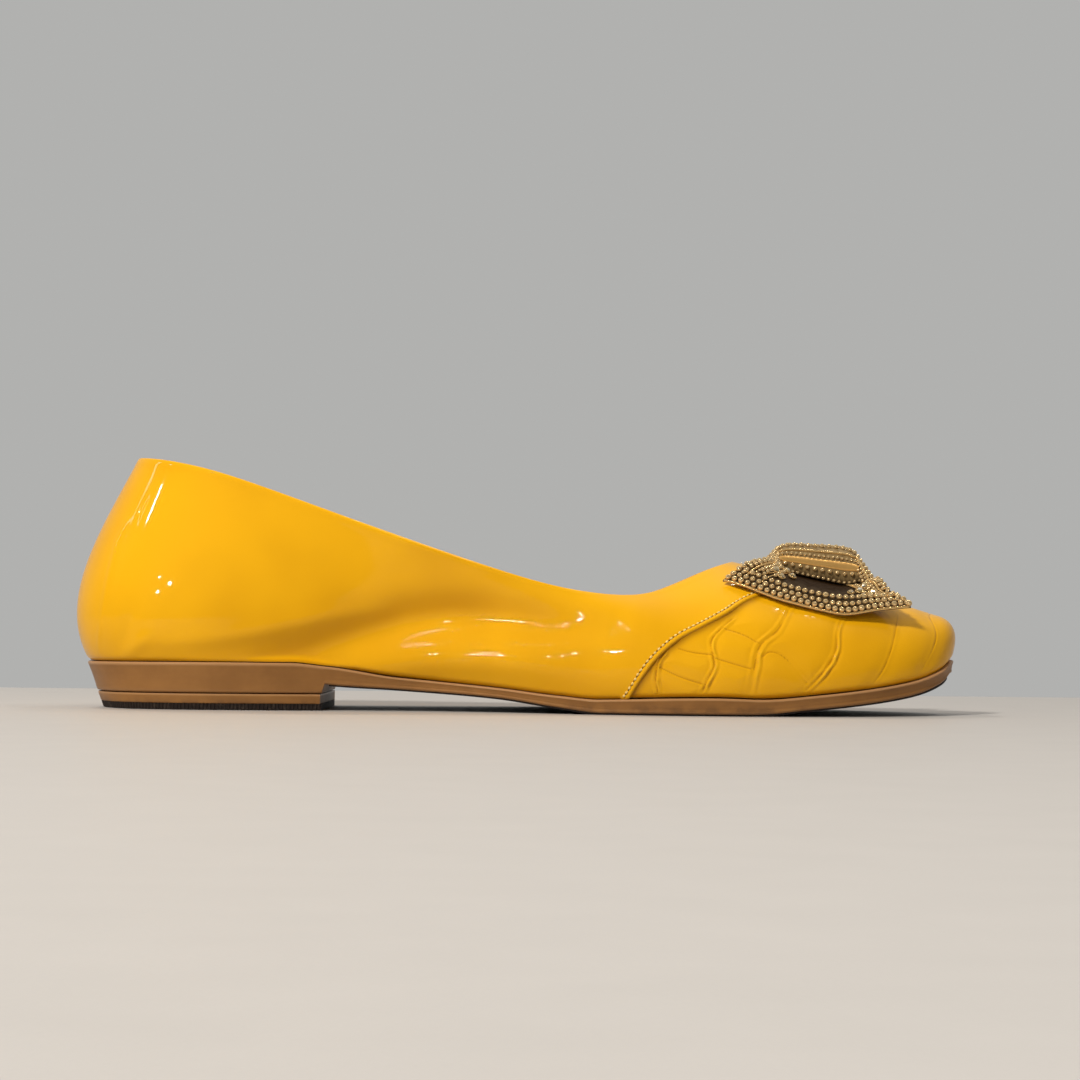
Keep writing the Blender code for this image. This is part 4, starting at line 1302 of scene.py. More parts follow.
@dataclass
class Sole:
    """The moulded sole with its heel, the heel's top piece, the treads and the insole."""

    last: Last
    shop: Workshop
    margin: float = 1.0 * MM
    edge_round: float = 0.5 * MM
    heel_length: float = 0.0675
    breast_run: float = 0.8 * MM
    heel_lift: float = 4.5 * MM
    back_rake: float = 0.37
    side_rake: float = 0.16
    insole_thickness: float = 2.0 * MM
    # The black tread is this tall so that its black also covers the contact shade at the foot of the heel: part
    # rubber, part painted shade.
    tread_height: float = 1.85 * MM
    rib_pitch: float = 1.05 * MM
    sheet_height: float = 0.45 * MM
    heel_columns: int = 96
    fore_columns: int = 260
    columns_per_rib: int = 8
    bar_pitch: float = 2.6 * MM
    bar_half: float = 0.75 * MM
    bar_recess: float = 0.45 * MM
    sheet_grid: tuple[int, int] = (620, 29)
    sock_columns: int = 24
    foot_prints: tuple[tuple[float, float, float, float], ...] = (
        (0.105, 0.00, 0.075, 0.20), (0.640, 0.02, 0.110, 0.34))

    def build(self) -> None:
        """Build every piece below the foot."""
        self.breast = self.last.parameter_at(self.heel_length)
        self.front = self.last.parameter_at(self.heel_length + self.breast_run)
        self.build_outsole()
        self.build_heel_lift()
        self.build_heel_tread()
        self.build_forepart_tread()
        self.build_insole()

    def around(self) -> tuple[Array, Array]:
        """Return the values of u round the sole and whether each is on the heel."""
        u = np.concatenate([np.linspace(0, self.breast, self.heel_columns),
                            np.linspace(self.front, self.last.toe, self.fore_columns)])
        on_heel = np.arange(len(u)) < self.heel_columns
        return np.concatenate([u, -u[-2:0:-1]]), np.concatenate([on_heel, on_heel[-2:0:-1]])

    def side(self, u: Array, drop: Array, inset: Any) -> Array:
        """Return plan points of the sole's side, a drop below its top edge and set in."""
        normal = self.last.outward(self.last.bottom, u)
        backward = np.maximum(-normal[..., 0], 0.0)
        rake = self.side_rake + (self.back_rake - self.side_rake) * backward ** 2
        return self.last.bottom(u) + normal * (self.margin - inset - rake * drop)[..., None]

    def ring(self, u: Array, height: Array, inset: float) -> Array:
        """Return points of the sole's side at given heights."""
        crest = self.side(u, np.zeros_like(u), 0.0 * u)
        drop = self.last.sole_top(crest[:, 0]) - self.edge_round - height
        plan = self.side(u, np.maximum(drop, 0), inset + 0.0 * u)
        return np.concatenate([plan, height[:, None]], 1)

    def build_outsole(self) -> None:
        """Build the moulding, with rounded edges and a slightly hollow side."""
        last = self.last
        u, on_heel = self.around()
        crest = self.side(u, np.zeros_like(u), 0.0 * u)
        top = last.sole_top(crest[:, 0])
        low = np.where(on_heel, self.heel_lift + last.clearance,
                       last.underside(crest[:, 0]) + self.sheet_height)
        rings, wear_and_highlight = [], []
        r = self.edge_round
        # The top face and rounded top edge get a painted highlight through the mark; the lower edge is a little
        # lighter.
        for inset, down in ((7.0 * MM, 0.0), (2.2 * MM, 0.0), (r * 1.0, 0.0), (r * 0.55, 0.06 * MM),
                            (r * 0.2, 0.2 * MM), (0.0, r)):
            rings.append(self.ring(u, top - down, inset))
            wear_and_highlight.append(np.full(len(u), 1.0 if down else 0.7))
        steps = 12
        for k in range(1, steps):
            share = k / steps
            height = (top - r) + (low + r - (top - r)) * share
            hollow = 0.16 * MM * np.sin(np.pi * share) * np.ones_like(u)
            line = np.where(on_heel, 0.0, 0.10 * MM * bell(np.full(len(u), share) - 0.78, 0.06))
            rings.append(self.ring(u, height, 0.0) + self.pushed(u, -hollow - line))
            wear_and_highlight.append(np.zeros(len(u)))
        for inset, up in ((0.0, r), (r * 0.2, 0.2 * MM), (r * 0.55, 0.06 * MM), (r, 0.0)):
            rings.append(self.ring(u, low + up, inset))
            wear_and_highlight.append(np.full(len(u), 0.25))
        grid = np.stack(rings)
        count = len(u)
        faces = Workshop.quads(len(rings), count, closed=True, flip=True).tolist()
        faces += self.rungs(count, (len(rings) - 1) * count, flip=True)
        faces += self.rungs(count, 0)
        self.shop.piece("outsole", grid, faces, Moulded(), "sole", ["outsole"], {"wear_and_highlight": np.stack(wear_and_highlight)}, 50)

    def pushed(self, u: Array, distance: Array) -> Array:
        """Return level moves out of the sole's side."""
        normal = self.last.outward(self.last.bottom, u)
        return np.concatenate([normal * distance[:, None], np.zeros((len(u), 1))], 1)

    @staticmethod
    def rungs(count: int, start: int, flip: bool = False) -> list[list[int]]:
        """Return the faces that close a ring from side to side."""
        faces = []
        for i in range(count // 2):
            corners = [i, i + 1, (count - i - 1) % count, (count - i) % count]
            corners = [start + c for c in dict.fromkeys(corners)]
            if len(corners) > 2:
                faces.append(corners[::-1] if flip else corners)
        return faces

    def heel_block(self, levels: Sequence[tuple[float, float]], u: Array, ribs: Array) -> tuple[Array, Any]:
        """Return a block that follows the heel's side.

        Args:
            levels: Pairs of height and inset, from the top down.
            u: The places round the heel, in order, back to the first.
            ribs: How far each place is set in on the side.

        Returns:
            Its points and faces.
        """
        count = len(u)
        rings = [self.ring(u, np.full(count, height), inset) - self.pushed(u, ribs)
                 for height, inset in levels]
        faces = Workshop.quads(len(rings), count, closed=True, flip=True).tolist()
        faces.append(list(range(count)))
        faces.append(list(range(len(rings) * count - 1, (len(rings) - 1) * count - 1, -1)))
        return np.stack(rings), faces

    def heel_around(self, pitch: float) -> Array:
        """Return the values of u round the heel, a pitch apart, without its straight front."""
        u = np.linspace(-self.breast, self.breast, 1200)
        run = runs(self.last.bottom(u))
        return np.interp(np.arange(0, run[-1], pitch), run, u)

    def build_heel_lift(self) -> None:
        """Build the heel's tan top piece, below the groove and over the tread."""
        u = self.heel_around(0.9 * MM)
        r = self.edge_round * 0.6
        low = self.tread_height
        levels = [(self.heel_lift, r), (self.heel_lift - 0.3 * r, 0.3 * r), (self.heel_lift - r, 0.0)]
        levels += [(self.heel_lift - r - (self.heel_lift - low - r) * k / 6, 0.0) for k in range(1, 6)]
        levels += [(low + 0.15 * MM, 0.0), (low, 0.12 * MM)]
        points, faces = self.heel_block(levels, u, np.zeros(len(u)))
        wear_and_highlight = np.zeros(points.shape[:2])
        # Painted highlight on the lift's rounded top edge.
        wear_and_highlight[:3] = 0.8
        self.shop.piece("heel_lift", points, faces, Moulded(), "sole", ["heel_lift"], {"wear_and_highlight": wear_and_highlight}, 40)

    def build_heel_tread(self) -> None:
        """Build the black ribbed tread under the heel, with cross bars on its face."""
        u = self.heel_around(self.rib_pitch / self.columns_per_rib)
        turns = np.arange(len(u)) * 2 * np.pi / self.columns_per_rib
        ribs = 0.20 * MM + 0.16 * MM * np.clip(2.2 * np.sin(turns), -1, 1)
        recess = self.bar_recess
        levels = [(self.tread_height - 0.02 * MM, 0.25 * MM), (self.tread_height - 0.1 * MM, 0.0),
                  (0.25 * MM, 0.0), (0.05 * MM, 0.1 * MM), (0.0, 0.3 * MM), (0.0, 1.9 * MM), (recess, 2.1 * MM)]
        parts = [self.heel_block(levels, u, ribs)]
        for k in range(1, int(self.heel_length / self.bar_pitch)):
            x = k * self.bar_pitch
            if x < 8 * MM or x > self.heel_length - 3 * MM:
                continue
            place = self.last.parameter_at(x)
            ends = self.ring(np.array([place, -place]), np.zeros(2), 2.6 * MM)
            bar = np.array([[x + end * self.bar_half, y, z] for z in (0.02 * MM, recess + 0.1 * MM)
                            for end in (-1, 1) for y in (ends[0, 1], ends[1, 1])])
            cage = [[0, 1, 3, 2], [4, 6, 7, 5], [0, 4, 5, 1], [2, 3, 7, 6], [0, 2, 6, 4], [1, 5, 7, 3]]
            parts.append((bar, cage))
        points, faces = merge(parts)
        self.shop.piece("heel_tread", points, faces, Tread(), "tread", ["heel_lift"], sharp=30)

    def build_forepart_tread(self) -> None:
        """Build the dark sheet under the waist and forepart, ribbed across the ball; its dark rim under the
        sole's edge is partly painted shade.
        """
        last = self.last
        rows, columns = self.sheet_grid
        x = np.linspace(self.heel_length + 2.0 * MM, last.length - 0.9 * MM, rows)
        place = np.array([last.parameter_at(value) for value in x])
        inner, outer = (self.ring(u, last.underside(x), 0.8 * MM) for u in (place, -place))
        across = np.linspace(0, 1, columns)
        grid = inner[:, None] + (outer - inner)[:, None] * across[None, :, None]
        ribbed = bell(np.maximum(np.abs(x - 0.70 * last.length) - 0.22 * last.length, 0), 4 * MM)
        wave = np.clip(1.8 * np.sin(x * 2 * np.pi / (2.6 * MM)), -1, 1) * 0.5 + 0.5
        inside = np.clip((0.5 - np.abs(across - 0.5)) * 14 - 0.9, 0, 1)
        grid[..., 2] = last.underside(grid[..., 0]) + 0.34 * MM * (ribbed * wave)[:, None] * inside[None]
        lifted = grid.copy()
        lifted[..., 2] = last.underside(grid[..., 0]) + self.sheet_height + 0.05 * MM
        points, faces = sheet(grid, lifted)
        self.shop.piece("forepart_tread", points, faces, Tread(), "tread", ["outsole"], sharp=35)

    def build_insole(self) -> None:
        """Build the insole, slightly raised at its middle and rounded at its edge."""
        last = self.last
        half = np.linspace(0, last.toe, self.fore_columns)
        u = np.concatenate([half, -half[-2:0:-1]])
        inset = last.wall_thickness + 2 * last.clearance + 0.1 * MM
        low, high = last.clearance, last.clearance + self.insole_thickness
        rings = []
        for extra, height in ((0.0, low), (0.0, high - 0.6 * MM), (0.15 * MM, high - 0.2 * MM),
                              (0.5 * MM, high), (2.0 * MM, high + 0.08 * MM)):
            plan = last.bottom(u) - last.outward(last.bottom, u) * (inset + extra)
            rings.append(np.concatenate([plan, (last.sole_top(plan[:, 0]) + height)[:, None]], 1))
        count = len(u)
        grid = np.stack(rings)
        left = grid[-1][:len(half)]
        right = grid[-1][np.r_[0, count - 1:count - len(half) + 1:-1, len(half) - 1]]
        across = np.linspace(0, 1, self.sock_columns)
        floor = left[:, None] + (right - left)[:, None] * across[None, :, None]
        dish = 1 - (2 * across - 1) ** 2
        floor[..., 2] = last.sole_top(floor[..., 0]) + high + 0.08 * MM + 0.25 * MM * dish[None]
        x, y = floor[..., 0], floor[..., 1]
        wear_and_highlight = sum(np.exp(-(((x / last.length - a) / c) ** 2) - ((y / last.ball_width - b) / d) ** 2)
                   for a, b, c, d in self.foot_prints)
        points = np.concatenate([grid.reshape(-1, 3), floor.reshape(-1, 3)])
        faces = Workshop.quads(len(rings), count, closed=True, flip=False).tolist()
        faces += Workshop.quads(*floor.shape[:2], start=len(rings) * count, flip=True).tolist()
        faces += self.rungs(count, 0, flip=True)
        marks = {"wear_and_highlight": np.concatenate([np.zeros(len(rings) * count), wear_and_highlight.ravel()])}
        sock = Leather("sock_leather", (0.70, 0.55, 0.36), (0.50, 0.36, 0.21), 0.58, 900.0)
        self.shop.piece("insole", points, faces, sock, "insole", ["insole"], marks)


# The bow


STONES = (
    (.40, -.62, 1.25), (.56, -.70, 1.15), (.50, -.48, 1.05), (.66, -.56, 1.0), (.36, -.80, 0.9),
    (.55, .58, 1.1), (.66, .70, 1.0), (.46, .70, 1.0), (.60, .42, 0.9), (.74, .52, 0.85),
)
"""The stones of a wing: each one's share across and along the wing, and its size in mm."""


class WingLine(NamedTuple):
    """A line along a wing: how far out, back and ahead it runs, its bow, and its five heights."""

    out: float
    back: float
    ahead: float
    bow: float
    rear: float
    rear_half: float
    middle: float
    front_half: float
    front: float


@dataclass
class Bow:
    """The gilt bow: two dished wings and a knot, with rows of beads and set stones."""

    last: Last
    shop: Workshop
    distance: float = 0.2065
    length: float = 0.0500
    span: float = 0.0520
    plate: float = 1.2 * MM
    rise: float = 0.0100
    knot_length: float = 0.0252
    knot_span: float = 0.0180
    knot_rise: float = 0.0109
    knot_tilt: float = 0.0012
    knot_end_fall: float = 0.0036
    knot_band: float = 1.2 * MM
    rim_drop: float = 0.6 * MM
    sheet: float = 0.6 * MM
    bead: float = 0.83 * MM
    bead_pitch: float = 1.95 * MM
    small_bead: float = 0.60 * MM
    small_pitch: float = 1.75 * MM
    tip_bead: float = 0.85 * MM
    half_steps: int = 44
    long_steps: int = 90
    smoothing: int = 12
    strip_shares: tuple[tuple[float, float], ...] = ((0.132, 0.205), (0.795, 0.868))
    sweep_stops: int = 22
    sweep_columns: int = 170
    sweep_lines: int = 15

    def __post_init__(self) -> None:
        """Keep the surfaces that the bow stands on and fit its tables."""
        self.shift = Vector((self.last.heel_rest, 0, 0))
        self.vamp = search_tree(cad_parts["upper"])
        self.middle = float(self.last.topline(self.last.toe)[1])
        self.seat_height = self.height(self.vamp, self.distance, self.middle)
        rows = self.wing_rows()
        shares = [i / (len(rows) - 1) for i in range(len(rows))]
        self.lines = {name: Eased([(s, getattr(row, name)) for s, row in zip(shares, rows)])
                      for name in WingLine._fields}

    def height(self, tree: BVHTree, x: float, y: float) -> float:
        """Return the height of a surface under a plan point."""
        hit = tree.ray_cast(Vector((x, y, 0.14)) - self.shift, Vector((0, 0, -1)))[0]
        return hit.z if hit else float(self.last.sole_top(x))

    def wing_rows(self) -> list[WingLine]:
        """Return the table of the wings' lines, from the middle of the bow to its rim."""
        out, reach, high, knot = self.span, self.length, self.rise, self.knot_length
        rows = (
            (0.000, .54, knot, .54, knot, .000, (-.10, -.10, -.10, -.10, -.10)),
            (0.160, .57, knot, .57, knot, .000, (.36, .12, .02, -.02, .15)),
            (0.260, .31, reach, .34, reach, .010, (.74, .22, -.07, -.12, .18)),
            (0.335, .39, reach, .38, reach, .030, (.66, .14, -.22, -.27, -.12)),
            (0.383, .47, reach, .45, reach, .065, (.46, .00, -.26, -.40, -.40)),
            (0.440, .56, reach, .485, reach, .105, (.12, -.66, -.93, -.66, -.52)),
        )
        return [WingLine(place * out, back * rear, ahead * fore, bow, *(share * high for share in heights))
                for place, back, rear, ahead, fore, bow, heights in rows]

    def wing_grid(self, shares: Array, alongs: Array) -> Array:
        """Return points of the wings' upper face for a grid of places across and along."""
        size = abs(shares)[:, None] * np.ones(len(alongs))[None]
        along = np.broadcast_to(alongs[None], size.shape)
        reach = np.where(along < 0, self.lines["back"](size), self.lines["ahead"](size))
        x = self.distance + along * reach
        bulge = self.lines["bow"](size) * self.span * (1 - along ** 2) * (1 - 0.4 * along)
        y = self.middle + np.sign(shares)[:, None] * (self.lines["out"](size) + bulge)
        z = np.empty_like(x)
        probe = ((0.04 * self.length, 0.0), (-0.04 * self.length, 0.0),
                 (0.0, 0.04 * self.span), (0.0, -0.04 * self.span), (0.0, 0.0))
        for i, share in enumerate(abs(shares)):
            heights = [(k / 2 - 1, float(self.lines[name](share)))
                       for k, name in enumerate(WingLine._fields[4:])]
            own = self.seat_height + Eased(heights)(alongs)
            for j in range(len(alongs)):
                seat = max(self.height(self.vamp, x[i, j] + dx, y[i, j] + dy) for dx, dy in probe)
                z[i, j] = max(own[j], seat + self.last.clearance + self.plate)
        return np.stack([x, y, z], -1)

    def build(self) -> None:
        """Build every piece of the bow."""
        self.shares = np.linspace(-1, 1, 2 * self.half_steps + 1)
        self.alongs = np.linspace(-1, 1, self.long_steps + 1)
        self.grid = self.wing_grid(self.shares, self.alongs)
        reach = self.smoothing
        weights = np.hanning(2 * reach + 3)[1:-1]
        padded = np.pad(self.grid[..., 2], ((0, 0), (reach, reach)), mode="edge")
        columns = len(self.alongs)
        self.grid[..., 2] = sum(weight * padded[:, k:k + columns] for k, weight in enumerate(weights))
        self.grid[..., 2] /= weights.sum()
        self.grid[..., 2] -= self.rim_drop * np.clip((np.abs(self.shares) - 0.84) / 0.16, 0, 1)[:, None] ** 2
        self.normals = grid_normals(self.grid)
        self.build_wings()
        self.build_knot()
        self.build_gathers()
        self.build_wires()
        self.build_beads()
        self.build_stones()

    def at(self, across: Any, along: Any) -> tuple[Array, Array]:
        """Return places on the wings and their normals, for shares across and along."""
        across, along = np.broadcast_arrays(np.asarray(across, float), np.asarray(along, float))
        row = (across + 1) / 2 * (len(self.shares) - 1)
        column = (along + 1) / 2 * (len(self.alongs) - 1)
        i = np.clip(row.astype(int), 0, len(self.shares) - 2)
        j = np.clip(column.astype(int), 0, len(self.alongs) - 2)
        a, b = (row - i)[..., None], (column - j)[..., None]
        found = []
        for grid in (self.grid, self.normals):
            low = grid[i, j] * (1 - b) + grid[i, j + 1] * b
            high = grid[i + 1, j] * (1 - b) + grid[i + 1, j + 1] * b
            found.append(low * (1 - a) + high * a)
        return found[0], unit(found[1])

    def rim_line(self, side: int, depth: float) -> tuple[Array, Array]:
        """Return shares across and along for a line on a wing, a depth in from its outer rim."""
        middle = self.half_steps
        half = self.grid[middle:] if side > 0 else self.grid[middle::-1]
        runs = np.linalg.norm(np.diff(half, axis=0), axis=-1)
        from_rim = np.vstack([np.cumsum(runs[::-1], axis=0)[::-1], np.zeros((1, runs.shape[1]))])
        shares = np.linspace(0, 1, len(half))
        across = [np.interp(depth, from_rim[::-1, j], shares[::-1]) for j in range(runs.shape[1])]
        return side * np.array(across), self.alongs

    def build_wings(self) -> None:
        """Build the wings' plate, dark brown all over and darker still towards the knot as painted shade, with
        its rim turned down.
        """
        top = self.grid - np.array([0, 0, 0.15 * MM])
        bottom = self.grid - np.array([0, 0, self.sheet])
        points, faces = sheet(top, bottom, flip=True)
        across, along = np.meshgrid(np.abs(self.shares), self.alongs, indexing="ij")
        # A dark brown ground over the plate, darker towards the knot as painted shade of the recess under it;
        # the underside gets painted shade too.
        floor = np.clip(1.25 - across * 1.25, 0, 1) * bell(along, 0.85)
        hollow = np.clip(0.93 + 0.12 * floor, 0, 1)
        marks = {"hollow": np.concatenate([hollow.ravel(), np.full(hollow.size, 0.8)])}
        self.shop.piece("bow_wings", points, faces, Gilt("gilt_plate", tarnish=0.75, roughness=0.32), "gilt",
                        ["bow_wings"], marks, 40)

    def knot_point(self, across: Any, along: Any, lift: Any = 0.0) -> Array:
        """Return points of the knot's outer face: across from 0 to 1, along from -0.5 to 0.5."""
        arch = [(-1.0, 0.0), (-.92, .35), (-.72, .72), (-.40, .94), (0.0, 1.0),
                (.40, .94), (.72, .72), (.92, .35), (1.0, 0.0)]
        out = Eased([(i / 8, pair[0]) for i, pair in enumerate(arch)])
        up = Eased([(i / 8, pair[1]) for i, pair in enumerate(arch)])
        across, along = np.broadcast_arrays(np.asarray(across, float), np.asarray(along, float))
        half = self.knot_span / 2
        x = self.distance + along * self.knot_length
        base = np.interp(x, self.knot_x, self.knot_base)
        fall = self.knot_end_fall * np.abs(2 * along) ** 6
        rise = self.seat_height + self.knot_rise - self.knot_tilt * along - fall - base

        def face(share: Array) -> Array:
            """Return the face's points at shares across."""
            return np.stack([x, self.middle + half * out(share), base + rise * up(share)], -1)

        points = face(across)
        slope = face(np.clip(across + 0.01, 0, 1)) - face(np.clip(across - 0.01, 0, 1))
        normal = unit(np.stack([np.zeros_like(x), -slope[..., 2], slope[..., 1]], -1))
        return points + normal * np.asarray(lift)[..., None]

    def knot_normal(self, across: Any, along: Any) -> Array:
        """Return the unit vectors that point out of the knot."""
        return unit(self.knot_point(across, along, 1.0 * MM) - self.knot_point(across, along))

    def build_knot(self) -> None:
        """Build the knot's arched band, softly ribbed at its feet."""
        wings = search_tree(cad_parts["bow_wings"])
        half = self.knot_span / 2
        feet = [self.middle + side * place for side in (-1, 1) for place in (half, half - self.knot_band)]
        self.knot_x = self.distance + np.linspace(-0.5, 0.5, 25) * self.knot_length
        self.knot_base = np.array([max(self.height(wings, x, y) for y in feet) + self.last.clearance
                                   for x in self.knot_x])
        across, along = np.meshgrid(np.linspace(0, 1, 73), np.linspace(-0.5, 0.5, 61), indexing="ij")
        foot = bell(np.minimum(across, 1 - across), 0.075)
        ribs = 0.16 * MM * np.sin(along * 2 * np.pi * 22) * foot
        end = np.clip((np.abs(along) - 0.455) / 0.045, 0, 1)
        outer = self.knot_point(across, along, ribs - 0.45 * MM * end ** 2)
        inner = self.knot_point(across, along, -self.knot_band + 0.0 * across)
        points, faces = sheet(outer, inner)
        # Dark all over, and darker at the knot's feet and in the troughs of its ribs as painted shade; its
        # inner face gets painted shade too.
        hollow = np.clip(0.70 + 0.2 * foot + 0.1 * (0.5 - 0.5 * np.sin(along * 2 * np.pi * 22)) * foot, 0, 1)
        marks = {"hollow": np.concatenate([hollow.ravel(), np.full(hollow.size, 0.9)])}
        self.shop.piece("bow_knot", points, faces, Gilt("gilt_knot", tarnish=0.6, roughness=0.3), "gilt",
                        ["bow_knot"], marks, 40)

    def sweep(self, side: int, depth: float, lift: float) -> Array:
        """Return a line up the rear end of a wing, over the knot, and down the wing's front end.

        Args:
            side: -1 for the inner wing, 1 for the outer one.
            depth: 0 for the outermost line to 1 for the innermost.
            lift: The height over the metal.

        Returns:
            Points along the line.
        """
        inset = 0.02 + 0.30 * depth
        shares = np.linspace(0.97 - 0.25 * depth, 0.30 + 0.12 * depth, self.sweep_stops)
        rear, rear_up = self.at(side * shares, -1 + inset)
        front, front_up = self.at(side * shares[::-1], 1 - inset)
        place = 0.5 + side * (0.04 + 0.38 * depth)
        over = self.knot_point(place, np.linspace(-0.45, 0.45, self.sweep_stops), lift)
        line = smooth_path(np.vstack([rear + rear_up * lift, over, front + front_up * lift]), 0.3 * MM)
        return resample(line, np.arange(len(line)), np.linspace(0, len(line) - 1, self.sweep_columns))

    def sweep_and_up(self, side: int, depth: float) -> tuple[Array, Array]:
        """Return a sweep on the metal and the unit vectors that point out of the metal along it."""
        path = self.sweep(side, depth, 0.0)
        return path, unit(self.sweep(side, depth, 1.0 * MM) - path)

    def gilt_piece(self, name: str, parts: Sequence[tuple[Array, Any]], finish: Gilt,
                   hollow: float = 0.0) -> None:
        """Make one piece of gilt metal from several sets of points and faces, browned evenly."""
        points, faces = merge(parts)
        self.shop.piece(name, points, faces, finish, "gilt", marks={"hollow": np.full(len(points), hollow)})

    def build_gathers(self) -> None:
        """Build the metal that sweeps from the wings' ends up to the knot."""
        parts = []
        for side in (-1, 1):
            depths = np.linspace(0, 1, self.sweep_lines)
            lines = np.stack([self.sweep(side, depth, -0.12 * MM) for depth in depths])
            under = lines - np.array([0, 0, 0.5 * MM])
            for grid, flip in ((lines, side > 0), (under, side < 0)):
                parts.append((grid, Workshop.quads(*grid.shape[:2], flip=flip)))
        # Evenly dark, as painted shade of the recess where these sweeps rise to the knot.
        self.gilt_piece("bow_gathers", parts, Gilt("gilt_gather", tarnish=0.85, roughness=0.36), 0.93)

    def build_wires(self) -> None:
        """Build the smooth gold lines: the rims, the lines over the knot and the rays at its corners."""
        wires = []
        for side in (-1, 1):
            across, along = self.rim_line(side, 0.25 * MM)
            rim, _ = self.at(across, along)
            wires.append(tube(even_path(rim - np.array([0, 0, 0.3 * MM]), 0.5 * MM), 0.36 * MM, 10))
            wires.append(tube(self.sweep(side, 0.42, 0.20 * MM), 0.34 * MM))
            for end in (-1, 1):
                for k in range(5):
                    spread = 0.30 + 0.11 * k
                    share = np.linspace(0.24, spread + 0.18, 12)
                    along_it = end * np.linspace(0.52, 0.90 - 0.05 * k, 12)
                    ray, ray_up = self.at(side * share, along_it)
                    wires.append(tube(ray + ray_up * 0.12 * MM, 0.17 * MM, 6))
        self.gilt_piece("bow_wires", wires, Gilt("gilt_wire", tarnish=0.25, roughness=0.18))
        strips = []
        for low, high in self.strip_shares:
            across, along = np.meshgrid(np.linspace(low, high, 9), np.linspace(-0.455, 0.455, 50),
                                        indexing="ij")
            off = (across - (low + high) / 2) * 2 / (high - low)
            bulge = 0.34 * MM * np.sqrt(np.clip(1 - off ** 2, 0, 1))
            grid = self.knot_point(across, along, 0.12 * MM + bulge)
            strips.append((grid, Workshop.quads(*grid.shape[:2])))
        satin = Gilt("gilt_satin", (0.96, 0.55, 0.17), (0.50, 0.24, 0.06), 0.3, 0.40)
        self.gilt_piece("knot_strips", strips, satin)

    def bead_rows(self) -> tuple[Array, Array, Array]:
        """Return places, normals and sizes of the beads, row by row."""
        places, normals, sizes = [], [], []

        def lay(path: Array, up: Array, size: float, pitch: float) -> None:
            """Lay beads along a path at an even pitch."""
            run = runs(path)
            stops = np.linspace(0, run[-1], max(2, round(run[-1] / pitch) + 1))
            spots, ups = (resample(part, run, stops) for part in (path, up))
            places.append(spots + unit(ups) * size * 0.55)
            normals.append(unit(ups))
            sizes.append(np.full(len(stops), size))

        for side in (-1, 1):
            for depth in (0.95, 3.0, 5.6):
                across, along = self.rim_line(side, depth * MM)
                path, up = self.at(across, along * 0.97)
                lay(path, up, self.bead, self.bead_pitch)
            for end in (-1, 1):
                for place in (0.62, 0.78, 0.93):
                    share = side * np.linspace(0.30 + 0.1 * place, 0.70, 30)
                    lay(*self.at(share, end * place), self.small_bead, self.small_pitch)
                for depth in (0.25, 0.85):
                    path, up = self.sweep_and_up(side, depth)
                    lay(path[::end][:50], up[::end][:50], self.small_bead, self.small_pitch)
            for depth, size, pitch in ((0.05, 0.72, 2.0), (0.59, 0.46, 1.3)):
                lay(*self.sweep_and_up(side, depth), size * MM, pitch * MM)
            for place, size, pitch in ((0.097, 0.66, 2.05), (0.012, 0.5, 1.5)):
                share = 0.5 + side * (0.5 - place)
                along = np.linspace(-0.46, 0.46, 60)
                lay(self.knot_point(share, along), self.knot_normal(share, along), size * MM, pitch * MM)
        for side in (-1, 1):
            tip, up = self.at(side * 0.97, 0.985)
            places.append((tip + up * 0.5 * MM)[None])
            normals.append(up[None])
            sizes.append(np.array([self.tip_bead]))
        return np.vstack(places), np.vstack(normals), np.concatenate(sizes)

    def build_beads(self) -> None:
        """Build all the beads in one mesh, with a little unevenness from bead to bead."""
        places, normals, sizes = self.bead_rows()
        uneven = np.random.default_rng(11)
        sizes = sizes * uneven.uniform(0.90, 1.07, len(sizes))
        form = bead_form()
        points, faces = scatter(form, places, normals, sizes)
        # Painted shade on each bead's lower half, where it sits on the metal.
        bead_underside_shade = np.tile(np.clip(0.25 - form[0][:, 2] * 0.9, 0, 1), len(places))
        bright = Gilt("gilt_bead", (1.0, 0.72, 0.36), (0.34, 0.15, 0.04), 0.5, 0.16)
        self.shop.piece("bow_beads", points, faces, bright, "gilt", marks={"hollow": 0.8 * bead_underside_shade})

    def build_stones(self) -> None:
        """Build the ring-set stones behind the knot and the cluster before it, on both wings."""
        rings, stones = [], []
        for side in (-1, 1):
            for across, along, size in STONES:
                place, up = self.at(side * across, along)
                rings.append(scatter(ring_form(), place + up * 0.35 * MM, up, size * MM))
                stones.append(scatter(stone_form(), place + up * 0.75 * MM, up, size * 0.86 * MM))
        self.gilt_piece("stone_rings", rings, Gilt("gilt_ring", tarnish=0.35, roughness=0.2))
        points, faces = merge(stones)
        self.shop.piece("stones", points, faces, Stone(), "stones", sharp=12)


# The studio


class Lamp(NamedTuple):
    """A rectangular lamp: its name, place, width, height, power, colour and whether it glints."""

    name: str
    place: Triple
    width: float
    height: float
    power: float
    colour: Triple = (1.0, 0.98, 0.94)
    glossy: bool = True


